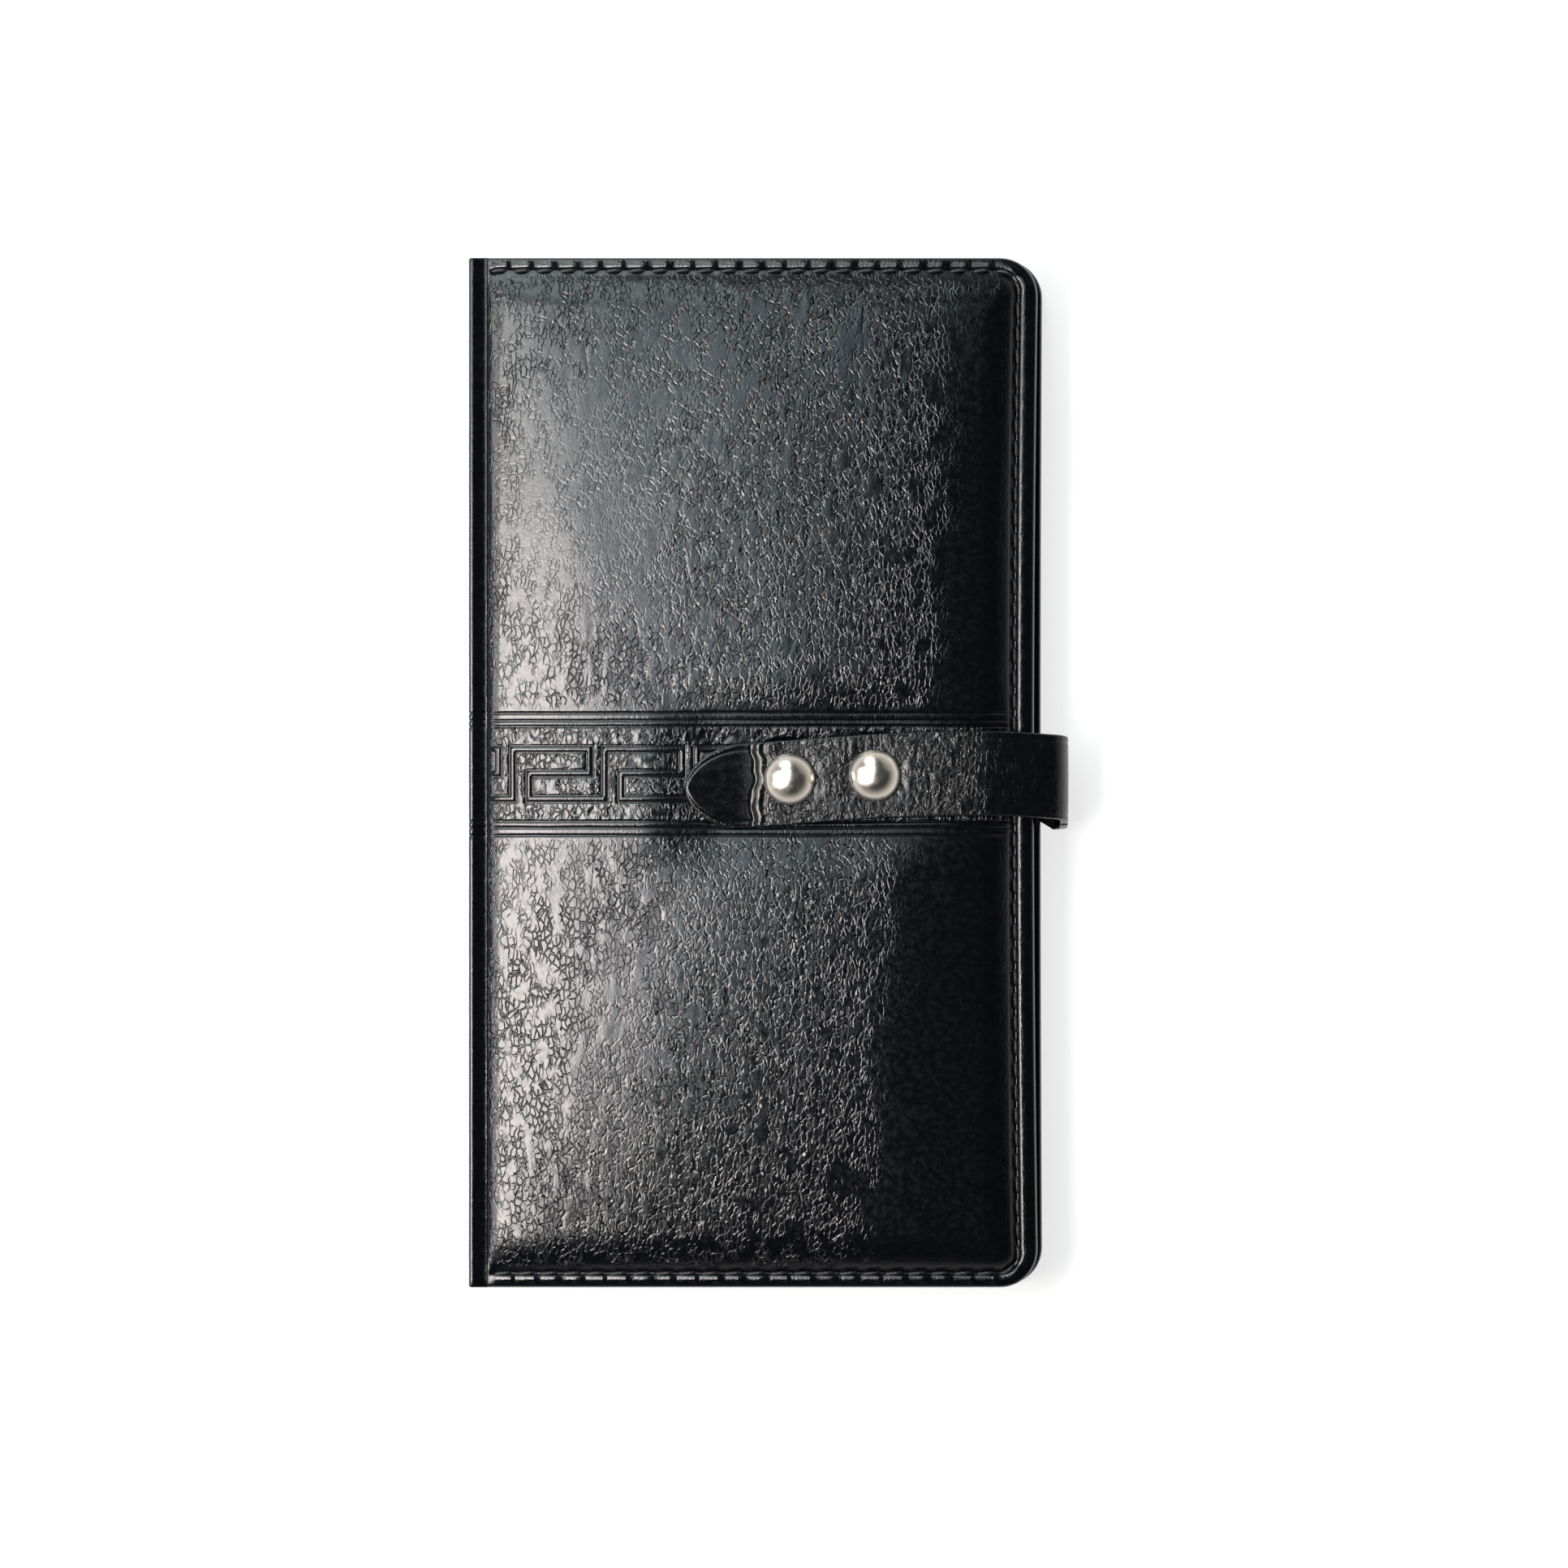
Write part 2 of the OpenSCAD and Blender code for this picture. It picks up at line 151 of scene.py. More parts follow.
def make_mesh(name, points_mm, faces, creases=None):
    """A smooth-shaded mesh with flat end caps. It holds each point's place at rest and how creased it is."""
    points = np.asarray(points_mm, float) * MM
    mesh = bpy.data.meshes.new(name)
    mesh.from_pydata(points.tolist(), [], faces)
    mesh.validate()
    corners = np.zeros(len(mesh.polygons), int)
    mesh.polygons.foreach_get("loop_total", corners)
    mesh.polygons.foreach_set("use_smooth", corners <= 4)
    place = mesh.attributes.new("rest_place", "FLOAT_VECTOR", "POINT")
    place.data.foreach_set("vector", points.astype(np.float32).ravel())
    crease = mesh.attributes.new("crease", "FLOAT", "POINT")
    values = np.ones(len(points)) if creases is None else creases
    crease.data.foreach_set("value", np.asarray(values, np.float32))
    mesh.update()
    obj = bpy.data.objects.new(name, mesh)
    bpy.context.scene.collection.objects.link(obj)
    return obj


def face_outwards(obj):
    """Turns the faces of a closed mesh so that they all look out."""
    work = bmesh.new()
    work.from_mesh(obj.data)
    bmesh.ops.recalc_face_normals(work, faces=work.faces)
    work.to_mesh(obj.data)
    work.free()
    obj.data.update()
    return obj


def tube_faces(rings, around, first=0):
    """Quads between rings of the same number of points, and a flat cap on each end."""
    faces = []
    for a in range(first, first + (rings - 1) * around, around):
        b = a + around
        faces += [(a + k, a + (k + 1) % around, b + (k + 1) % around, b + k) for k in range(around)]
    last = first + (rings - 1) * around
    return faces + [tuple(range(first, first + around)), tuple(range(last, last + around))]


def along_path(path):
    """Unit directions along a path of (x, z) points."""
    ahead = np.gradient(path, axis=0)
    return ahead / np.linalg.norm(ahead, axis=1)[:, None]


def lathe(name, profile_mm, centre, segments=72, ring=False):
    """The profile's (radius, height) points turned round a vertical line. A ring's profile is a loop."""
    points, faces, rings = [], [], []
    for r, z in profile_mm:
        if r < 1e-6:
            rings.append([len(points)])
            points.append((centre[0], centre[1], z))
        else:
            rings.append(list(range(len(points), len(points) + segments)))
            for k in range(segments):
                a = 2 * math.pi * k / segments
                points.append((centre[0] + r * math.cos(a), centre[1] + r * math.sin(a), z))
    for low, high in zip(rings, rings[1:] + rings[:1] if ring else rings[1:]):
        for k in range(segments):
            m = (k + 1) % segments
            if len(low) == 1:
                faces.append((low[0], high[m], high[k]))
            elif len(high) == 1:
                faces.append((low[k], low[m], high[0]))
            else:
                faces.append((low[k], low[m], high[m], high[k]))
    return face_outwards(make_mesh(name, points, faces))


# --- Materials ---

class Nodes:
    """Short calls for building one material's node tree. A value may be another node's output."""

    def __init__(self, name):
        self.material = bpy.data.materials.new(name)
        self.material.use_nodes = True
        self.tree = self.material.node_tree
        self.shader = self.tree.nodes["Principled BSDF"]

    def put(self, socket, value):
        """Links an output to an input, or sets the input's own value."""
        if isinstance(value, bpy.types.NodeSocket):
            self.tree.links.new(value, socket)
        else:
            socket.default_value = value

    def add(self, kind, inputs=(), **settings):
        node = self.tree.nodes.new(kind)
        for key, value in settings.items():
            setattr(node, key, value)
        for key, value in dict(inputs).items():
            self.put(node.inputs[key], value)
        return node

    def shade(self, key, value):
        """Sets or links an input of the shader."""
        self.put(self.shader.inputs[key], value)

    def math(self, operation, a, b):
        return self.add("ShaderNodeMath", {0: a, 1: b}, operation=operation).outputs[0]

    def vector(self, operation, a, b):
        return self.add("ShaderNodeVectorMath", {0: a, 1: b}, operation=operation).outputs[0]

    def ramp(self, value, low, high, out_low=0.0, out_high=1.0):
        inputs = {"Value": value, "From Min": low, "From Max": high, "To Min": out_low, "To Max": out_high}
        return self.add("ShaderNodeMapRange", inputs, interpolation_type="SMOOTHSTEP").outputs["Result"]

    def place(self, own_mesh=True):
        """Where a point is at rest, in metres."""
        if own_mesh:
            return self.add("ShaderNodeAttribute", attribute_name="rest_place").outputs["Vector"]
        return self.add("ShaderNodeTexCoord").outputs["Object"]

    def creased(self):
        """How creased the mesh says it is here."""
        return self.add("ShaderNodeAttribute", attribute_name="crease").outputs["Fac"]

    def noise(self, vector, scale, detail=2.0, roughness=0.5, output="Fac"):
        inputs = {"Vector": vector, "Scale": scale, "Detail": detail, "Roughness": roughness}
        return self.add("ShaderNodeTexNoise", inputs).outputs[output]

    def wave(self, vector, scale, direction, distortion=0.0):
        inputs = {"Vector": vector, "Scale": scale, "Distortion": distortion}
        node = self.add("ShaderNodeTexWave", inputs, wave_type="BANDS", bands_direction=direction)
        return node.outputs["Fac"]

    def mix(self, factor, a, b):
        """The base colour, from one colour to another. Returns it too."""
        mixed = self.add("ShaderNodeMix", {"Factor": factor, "A": a, "B": b}, data_type="RGBA")
        self.shade("Base Color", mixed.outputs["Result"])
        return mixed.outputs["Result"]

    def colour(self, vector, dark, light, scale):
        """Base colour that wanders between two near values."""
        return self.mix(self.noise(vector, scale, 3), (*dark, 1), (*light, 1))

    def bump(self, height, distance):
        bump = self.add("ShaderNodeBump", {"Height": height, "Distance": distance})
        self.shade("Normal", bump.outputs["Normal"])


def leather(name, dark, light, roughness, crease_mm, grain_mm, smooth_gloss=0.0):
    """
    Black leather: a fine grain, and broken creases that run mostly along Y where the mesh says it is creased.
    smooth_gloss is how much less rough it is where it has no creases.
    """
    n = Nodes(name)
    place = n.place()
    n.colour(place, dark, light, 60)
    warp = n.vector("SUBTRACT", n.noise(place, 420, output="Color"), (0.5, 0.5, 0.5))
    bent = n.vector("ADD", place, n.vector("MULTIPLY", warp, (0.0016, 0.0016, 0.0016)))
    inputs = {"Vector": n.vector("MULTIPLY", bent, (1, 0.5, 1)), "Scale": 1120}
    cells = n.add("ShaderNodeTexVoronoi", inputs, feature="DISTANCE_TO_EDGE")
    valley = n.ramp(cells.outputs["Distance"], 0.0, 0.16)
    broken = n.ramp(n.noise(n.vector("MULTIPLY", place, (1, 0.6, 1)), 400), 0.34, 0.6)
    creased = n.creased()
    valley = n.math("MULTIPLY", n.math("MULTIPLY", n.math("SUBTRACT", valley, 1.0), broken), creased)
    grain = n.math("MULTIPLY", n.noise(place, 2600, 3, 0.6), grain_mm / crease_mm)
    n.bump(n.math("ADD", valley, grain), crease_mm * MM)
    rough = n.ramp(n.noise(place, 900, 3), 0.3, 0.7, roughness - 0.05, roughness + 0.06)
    if smooth_gloss:
        rough = n.math("SUBTRACT", rough, n.ramp(creased, 0.0, 0.4, smooth_gloss, 0.0))
    n.shade("Roughness", rough)
    n.shade("Specular IOR Level", 0.5)
    return n.material


def thread_material():
    """Black waxed thread: two plies that show as slanting ridges."""
    n = Nodes("black_thread")
    place = n.place()
    n.colour(place, (0.006, 0.006, 0.007), (0.02, 0.02, 0.022), 1500)
    n.bump(n.wave(place, 1400, "DIAGONAL"), 0.05 * MM)
    n.shade("Roughness", 0.3)
    return n.material


def metal(name, colour, roughness, own_mesh=True):
    """Plated metal with faint handling marks."""
    n = Nodes(name)
    place = n.place(own_mesh)
    n.colour(place, tuple(0.94 * c for c in colour), colour, 350)
    n.shade("Roughness", n.ramp(n.noise(place, 700, 4), 0.35, 0.75, roughness, roughness + 0.07))
    n.bump(n.noise(place, 500), 0.01 * MM)
    n.shade("Metallic", 1.0)
    return n.material


def woven(name, dark, light, threads_per_mm=2.2):
    """Plain-weave lining cloth."""
    n = Nodes(name)
    place = n.place()
    n.colour(place, dark, light, 1200)
    scale = threads_per_mm / MM / 20 * 2 * math.pi
    n.bump(n.math("MAXIMUM", n.wave(place, scale, "X", 0.6), n.wave(place, scale, "Y", 0.6)), 0.09 * MM)
    n.shade("Roughness", 0.62)
    n.shade("Specular IOR Level", 0.3)
    n.shade("Sheen Weight", 0.04)
    return n.material


def card_material():
    """Black card with a fine tooth."""
    n = Nodes("insert_card")
    place = n.place()
    n.colour(place, (0.02, 0.02, 0.023), (0.03, 0.03, 0.034), 400)
    n.bump(n.noise(place, 1800, 4, 0.65), 0.03 * MM)
    n.shade("Roughness", 0.6)
    return n.material


def paper_material(line_pitch=6.5, line_w=0.22, margin=9.0):
    """Cream paper, ruled across its flat faces, with the fine lines of stacked leaves on its edges."""
    n = Nodes("cream_paper")
    place = n.place()
    base = n.colour(place, (0.52, 0.495, 0.43), (0.58, 0.555, 0.49), 90)
    y = n.add("ShaderNodeSeparateXYZ", {0: place}).outputs["Y"]
    phase = n.math("PINGPONG", n.math("DIVIDE", y, MM), line_pitch / 2)
    line = n.math("LESS_THAN", phase, line_w / 2)
    inside = n.math("LESS_THAN", n.math("ABSOLUTE", y, 0.0), (HALF_H - 2 * margin) * MM)
    # its meshes are marked as creased where they're ruled
    ruled = n.math("MULTIPLY", n.math("MULTIPLY", line, inside), n.creased())
    n.mix(n.math("MULTIPLY", ruled, 0.8), base, (0.16, 0.20, 0.28, 1))
    n.bump(n.noise(n.vector("MULTIPLY", place, (0.4, 0.4, 12)), 700, 3, 0.6), 0.05 * MM)
    n.shade("Roughness", 0.85)
    return n.material


def plain(name, dark, light, roughness, scale, bump_mm):
    """A matte material with an even, fine texture, for the pieces inside the covers."""
    n = Nodes(name)
    place = n.place(False)
    n.colour(place, dark, light, scale)
    n.bump(n.noise(place, scale, 4, 0.6), bump_mm * MM)
    n.shade("Roughness", roughness)
    return n.material


COVER = leather("cover_leather", (0.0007, 0.0010, 0.0018), (0.0016, 0.0020, 0.0032), 0.175, 0.1, 0.02)
TURN = leather("turn_leather", (0.0007, 0.0010, 0.0018), (0.0014, 0.0018, 0.0028), 0.13, 0.1, 0.02)
STRAP = leather("strap_leather", (0.0010, 0.0012, 0.0016), (0.0022, 0.0025, 0.003), 0.26, 0.12, 0.03, 0.12)
THREAD = thread_material()
CAP_METAL = metal("cap_metal", (0.86, 0.80, 0.73), 0.21)
SNAP_METAL = metal("snap_metal", (0.66, 0.65, 0.62), 0.24)
HIDDEN_METAL = metal("hidden_snap_metal", (0.6, 0.6, 0.58), 0.3, own_mesh=False)
LINING = woven("lining_cloth", (0.005, 0.005, 0.006), (0.018, 0.018, 0.020))
CARD = card_material()
PAPER = paper_material()
FOAM = plain("grey_foam", (0.2, 0.2, 0.21), (0.3, 0.3, 0.31), 0.95, 1500, 0.2)
BOARD = plain("grey_board", (0.3, 0.27, 0.22), (0.42, 0.38, 0.32), 0.9, 900, 0.05)


def dress(obj, material):
    """Gives a piece its one material."""
    obj.data.materials.clear()
    obj.data.materials.append(material)
    return obj


# --- The padded covers ---

def fret_distance(x, y):
    """Distance to the fret's centre line, which repeats along X."""
    px = (x - FRET_START) % FRET_PERIOD
    runs = [
        ((0, FRET_LOW), (0, FRET_TOP)), ((0, FRET_TOP), (FRET_LONG, FRET_TOP)),
        ((FRET_LONG, FRET_TOP), (FRET_LONG, FRET_MID)), ((FRET_LONG, FRET_MID), (FRET_IN, FRET_MID)),
        ((FRET_IN, FRET_MID), (FRET_IN, FRET_LOW)), ((FRET_IN, FRET_LOW), (FRET_PERIOD, FRET_LOW)),
    ]
    best = np.full(np.shape(x), 99.0)
    for (ax, ay), (bx, by) in runs:
        for shift in (-FRET_PERIOD, 0, FRET_PERIOD):
            dx = np.maximum(np.maximum(min(ax, bx) + shift - px, px - max(ax, bx) - shift), 0)
            dy = np.maximum(np.maximum(min(ay, by) - y, y - max(ay, by)), 0)
            # square corners: the larger of the two distances
            best = np.minimum(best, np.maximum(dx, dy))
    return best


def band_height(x, y):
    """The embossed band's relief: sunk lines, and a flat-topped fret between two sunk edges."""
    h = np.zeros(np.shape(x))
    for line in BAND_LINES:
        wander = 0.05 * smooth_noise(x / 7, np.full(np.shape(x), line), 31)
        h -= 0.3 * ridge(y - line - wander, 0.27)
    d = fret_distance(x, y)
    fret = ramp(d, FRET_HALF_W + 0.08, FRET_HALF_W - 0.1)
    groove = ridge(d - FRET_HALF_W - FRET_GROOVE, FRET_GROOVE + 0.06)
    return h + 0.16 * fret - 0.3 * groove


def in_field(y):
    """1 between the band's inner lines."""
    top, low = BAND_LINES[2], BAND_LINES[3]
    return ramp(y, low - 0.1, low + 0.4) * ramp(y, top + 0.1, top - 0.4)


def crease_amount(x, y):
    """How creased the padded leather is: least near the fore-edge and in patches by the head."""
    calm_from = np.interp(y, (-70, -5, 25), (12, 17, 27))
    fore_edge = 1 - 0.92 * ramp(x - calm_from, 0, 13)
    patch = ramp(smooth_noise(x / 17, y / 23, 3) + 0.45 * smooth_noise(x / 6, y / 9, 4), -0.5, 0.25)
    calm_head = 1 - 0.75 * ramp(y, 24, 46) * ramp(y, 76, 66) * ramp(x, -6, -24) * ramp(x, -46, -41)
    return np.clip((0.45 + 0.55 * patch) * fore_edge * calm_head, 0.04, 1)


class Panel:
    """One cover's leather: a sewn border that runs round three sides, and a padded face inside it."""

    def __init__(self, edge_x, face_z, up, rise, crown, peak_x, seams, bow):
        self.edge_x = edge_x
        self.border_z = face_z - up * PAD_RISE
        self.up = up
        self.rise = rise            # height of the step beside the spine
        self.crown = crown          # how much higher the padding is at peak_x
        self.peak_x = peak_x
        self.seams = seams          # seam's distance from the edge at head, fore-edge and tail
        self.bow = bow
        self.inner_x = edge_x - RING_W
        self.inner_y = HALF_H - RING_W

    def pad(self, x, y):
        """Height of the padded face over the border's face."""
        from_spine = np.clip((x - TURN_X - 0.1) / 2.3, 0, 1)
        to_edge = np.minimum(self.edge_x - x, HALF_H - np.abs(y))
        # the corner of the pad is round too
        cx, cy = np.maximum(x - self.inner_x, 0), np.maximum(np.abs(y) - self.inner_y, 0)
        to_edge = np.where((cx > 0) & (cy > 0), RING_W - np.hypot(cx, cy), to_edge)
        from_seam = np.clip((to_edge - SEAM - 0.6) / 7.5, 0, 1)
        # a steep, round step beside the spine, and a softer slope from the seam
        shoulder = np.sqrt(1 - (1 - from_spine) ** 2) * (1 - (1 - from_seam) ** 2.6)
        half_w = np.where(x < self.peak_x, self.peak_x - TURN_X, self.edge_x - self.peak_x)
        across = 1 - ((x - self.peak_x) / half_w) ** 2
        along = 1 - (np.abs(y) / HALF_H) ** 4
        h = shoulder * (self.rise + self.crown * np.clip(across, 0, 1) * np.clip(along, 0, 1)
                        + 0.7 * (1 - np.exp(-(x - TURN_X) / 7)))
        waves = 0.16 * smooth_noise(x / 31, y / 42, 11) + 0.07 * smooth_noise(x / 13, y / 19, 12)
        h += shoulder * waves * (0.3 + 0.7 * min(self.crown, 1))
        return h, shoulder

    def pressed(self, h, shoulder, x, y):
        """The height under the strap and round the sunk snaps, which only the front cover has."""
        if self.up < 0:
            return h
        from_strap = np.abs(y - np.interp(x, *zip(*FLAP_Y)))
        depth = STRAP_PRESS * ramp(x, -21, -6) * (1 - 0.6 * ramp(x, 22, 42))
        h = h - depth * shoulder * ramp(from_strap, 20, 5.5)
        seat = SNAP_SEAT_Z - self.border_z
        for sx, sy in SNAPS:
            r = np.hypot(x - sx, y - sy)
            h = h - 0.3 * np.exp(-(r / 10) ** 2)
            sunk = ramp(r, 8.2, 4.7)
            h = h * (1 - sunk) + np.minimum(h, seat) * sunk
        return h

    def height(self, x, y):
        """Height of the padded face with its creases and its band, and how creased it is."""
        h, shoulder = self.pad(x, y)
        creased = crease_amount(x, y) * np.clip(2.6 * shoulder, 0, 1)
        warp = 0.5 * smooth_noise(x / 5, y / 8, 21)
        borders = cell_borders(x / 2.3 + warp, y / 5.2 + 0.4 * warp, 22)
        folds = -0.045 * ridge(borders, 0.25) * ramp(smooth_noise(x / 4, y / 7, 23), -0.2, 0.4)
        swell = 0.03 * smooth_noise(x / 1.4, y / 3.2, 24)
        outside_band = 1 - ramp(np.abs(y), 13.2, 11.6)
        h = h + creased * (folds + swell) * outside_band
        field = in_field(y)
        fret = ramp(fret_distance(x, y), FRET_HALF_W + 0.3, FRET_HALF_W + 0.5)
        pebbles = 0.12 * smooth_noise(x / 0.9, y / 1.5, 25) + 0.05 * smooth_noise(x / 0.45, y / 0.8, 26)
        h = h + field * fret * pebbles * shoulder
        h = h + band_height(x, y) * ramp(x, TURN_X + 0.4, TURN_X + 1.6) * shoulder
        h = self.pressed(h, shoulder, x, y)
        if self.up < 0:             # the table presses the back cover's padding flat
            h = PAD_RISE - np.logaddexp(0, (PAD_RISE - h - 0.03) * 9) / 9
        creased = creased * (0.15 + 0.85 * outside_band)
        return h, np.maximum(creased, 0.95 * field * fret * shoulder)

    def border(self, d, wave, fade, facing):
        """
        Height of the sewn border at distance d from the edge. Wave goes from 0 to 1 in each stitch.

        Facing is the outward direction's Y: 1 at the head, -1 at the tail and 0 at the fore-edge. Along the
        head and the tail the stitches gather the bead into strokes that end steeply towards the fore-edge.
        """
        endwise = np.abs(facing)
        run = np.where(facing < 0, 1 - wave % 1, wave % 1)
        stroke = np.minimum(run / 0.86, (1 - run) / 0.14)
        pull = endwise * stroke + (1 - endwise) * (0.5 - 0.5 * np.cos(2 * np.pi * wave))
        bead_at = 1.72 - 0.08 * pull
        rise = 0.24 - 0.1 * endwise + (0.1 + 0.27 * endwise) * pull
        bead = rise * np.clip(1 - ((d - bead_at) / 1.0) ** 2, 0, 1)
        from_groove = d - SEAM - 0.06 * (pull - 0.5)
        sunk = np.where(from_groove < 0, ridge(from_groove, 0.5 + 0.08 * pull), ridge(from_groove, 1.3))
        groove = -0.42 * sunk
        return fade * (bead + groove)

    def columns(self):
        """The padded face's X stations, finer at the fret's upright runs."""
        xs = list(TURN_X + 0.1 + 2.3 * np.linspace(0, 1, 11) ** 1.7)
        xs += list(np.arange(TURN_X, self.inner_x, 0.66)) + [self.inner_x]
        for start in np.arange(FRET_START - FRET_PERIOD, self.inner_x, FRET_PERIOD):
            for run in (0, FRET_IN, FRET_LONG):
                xs += [start + run + s * v for s in (-1, 1) for v in FRET_STATIONS]
        return thinned(xs, TURN_X, self.inner_x, 0.1)

    def rows(self):
        """The padded face's Y stations, finer in the band."""
        top, low = BAND_LINES[0] + 0.8, BAND_LINES[-1] - 0.8
        ys = list(np.linspace(-self.inner_y, low, 72)) + list(np.linspace(top, self.inner_y, 74))
        ys += list(np.arange(low, top, 0.36))
        for line in BAND_LINES:
            ys += [line + v for v in (-0.27, -0.13, 0, 0.13, 0.27)]
        for level in (FRET_TOP, FRET_MID, FRET_LOW):
            ys += [level + s * v for s in (-1, 1) for v in FRET_STATIONS]
        return thinned(ys, -self.inner_y, self.inner_y, 0.1)

    def to_frame(self, x, y, h):
        """A point of the panel in the frame, with the fore-edge bowed in."""
        pulled = self.bow * (1 - (y / HALF_H) ** 2) * ramp(x, 10, self.edge_x)
        return np.stack([x - pulled, y, self.border_z + self.up * h], axis=-1)


def thinned(values, low, high, least):
    """Sorted stations from low to high, none closer than least. Later ones give way to earlier ones."""
    kept = []
    for v in sorted(v for v in values if low <= v <= high):
        if not kept or v - kept[-1] >= least:
            kept.append(v)
    kept[-1] = high
    return np.array(kept)


# Rows of the sewn border by distance from the edge, and the turned edge under it as (distance, height).
BORDER_ROWS = (6.0, 5.2, 4.6, 4.15, 3.75, 3.4, 3.15, 2.95, 2.8, 2.65, 2.5, 2.35, 2.15, 1.95, 1.75, 1.5, 1.25,
               0.95, 0.66)
EDGE_R = FLANGE_T / 2
EDGE_W = 0.55
EDGE_ROWS = [(EDGE_W * (1 - math.sin(a)), -EDGE_R * (1 - math.cos(a)))
             for a in np.radians((15, 35, 55, 72, 90, 108, 125, 145, 165))]
UNDER_ROWS = [(1.0, -FLANGE_T), (4.1, -FLANGE_T), (4.1, -FLANGE_T + 1.15), (4.9, -FLANGE_T + 1.15),
              (6.4, -0.45)]
BORDER_CREASED = 0.12
CORNER_STEPS = 14                   # mesh columns round each corner of the border


def border_path(panel, xs, ys):
    """
    The padded face's outer boundary from the spine round the fore-edge and back.

    Gives points, outward directions, the seam's distance from the edge, and how far along the seam they lie.
    """
    fan = [(k / CORNER_STEPS, math.pi / 2 * k / CORNER_STEPS) for k in range(1, CORNER_STEPS)]
    turn = CORNER_R - SEAM
    head, fore, tail = panel.seams
    x1, y1 = panel.inner_x, panel.inner_y
    past = np.cumsum((x1 - TURN_X, math.pi / 2 * turn, 2 * y1, math.pi / 2 * turn))
    rows = [(x, y1, 0, 1, head, x - TURN_X) for x in xs]
    rows += [(x1, y1, math.sin(a), math.cos(a), head + (fore - head) * t, past[0] + a * turn)
             for t, a in fan]
    rows += [(x1, y, 1, 0, fore, past[1] + y1 - y) for y in ys[::-1]]
    rows += [(x1, -y1, math.cos(a), -math.sin(a), fore + (tail - fore) * t, past[2] + a * turn)
             for t, a in fan]
    rows += [(x, -y1, 0, -1, tail, past[3] + x1 - x) for x in xs[::-1]]
    table = np.array(rows)
    return table[:, :2], table[:, 2:4], table[:, 4], table[:, 5]


def seam_shift(d, seam):
    """Moves distance d so that the nominal seam lies at the given one, and both ends of the border stay."""
    inner = seam + (d - SEAM) * (RING_W - seam) / (RING_W - SEAM)
    return np.where(d < SEAM, d * seam / SEAM, inner)


def border_rows(panel, base, outs, seams, along):
    """The rows of the sewn border, the edge and its underside: distance from the edge, height, creasing."""
    fade = ramp(base[:, 0], TURN_X + 0.2, TURN_X + 1.8)
    wave = along / STITCH_PITCH
    even = np.ones(len(base))
    for d in BORDER_ROWS:
        distance = seam_shift(d * even, seams)
        where = base + outs * (RING_W - distance)[:, None]
        pad_h, creased = panel.height(where[:, 0], where[:, 1])
        inside = ramp(d, SEAM, 4.4)
        lift = np.maximum(pad_h, 0) if panel.up > 0 else np.clip(pad_h, 0, PAD_RISE)
        height = inside * lift + panel.border(d, wave, fade, outs[:, 1])
        yield distance, height, BORDER_CREASED + inside * creased
    for d, z in EDGE_ROWS:
        yield seam_shift(d * even, seams), z * even, BORDER_CREASED * even
    for d, z in UNDER_ROWS:
        yield d * even, z * even, BORDER_CREASED * even


def cover_skin(name, panel):
    """One cover's leather as a closed shell: face, sewn border, rolled edge, and the pocket for the foam."""
    xs, ys = panel.columns(), panel.rows()
    gx, gy = np.meshgrid(xs, ys)
    h, creased = panel.height(gx, gy)
    points, amounts = [panel.to_frame(gx, gy, h).reshape(-1, 3)], [creased.ravel()]
    grid = np.arange(h.size).reshape(h.shape)
    quads = np.stack([grid[:-1, :-1], grid[:-1, 1:], grid[1:, 1:], grid[1:, :-1]], -1)
    faces = [tuple(quad) for quad in quads.reshape(-1, 4).tolist()]

    base, outs, seams, along = border_path(panel, xs, ys)
    corner = np.ones(CORNER_STEPS - 1, int)
    boundary = (grid[-1], corner * grid[-1, -1], grid[::-1, -1], corner * grid[0, -1], grid[0, ::-1])
    previous = np.concatenate(boundary).tolist()
    count, total = len(base), h.size
    for distance, height, amount in border_rows(panel, base, outs, seams, along):
        where = base + outs * (RING_W - distance)[:, None]
        points.append(panel.to_frame(where[:, 0], where[:, 1], height))
        amounts.append(amount)
        row = list(range(total, total + count))
        # a quad that starts from one of the two corner points is a triangle
        faces += [tuple(dict.fromkeys(quad)) for quad in zip(previous, previous[1:], row[1:], row)]
        previous = row
        total += count
    faces.append(tuple(previous))       # the pocket's flat bottom
    # the cut at the spine side, from the face down to the pocket
    head_ends = list(range(h.size, total, count))
    tail_ends = [r + count - 1 for r in head_ends[::-1]]
    faces.append(tuple(grid[:, 0].tolist() + head_ends + tail_ends))
    return make_mesh(name, np.concatenate(points), faces, np.concatenate(amounts))


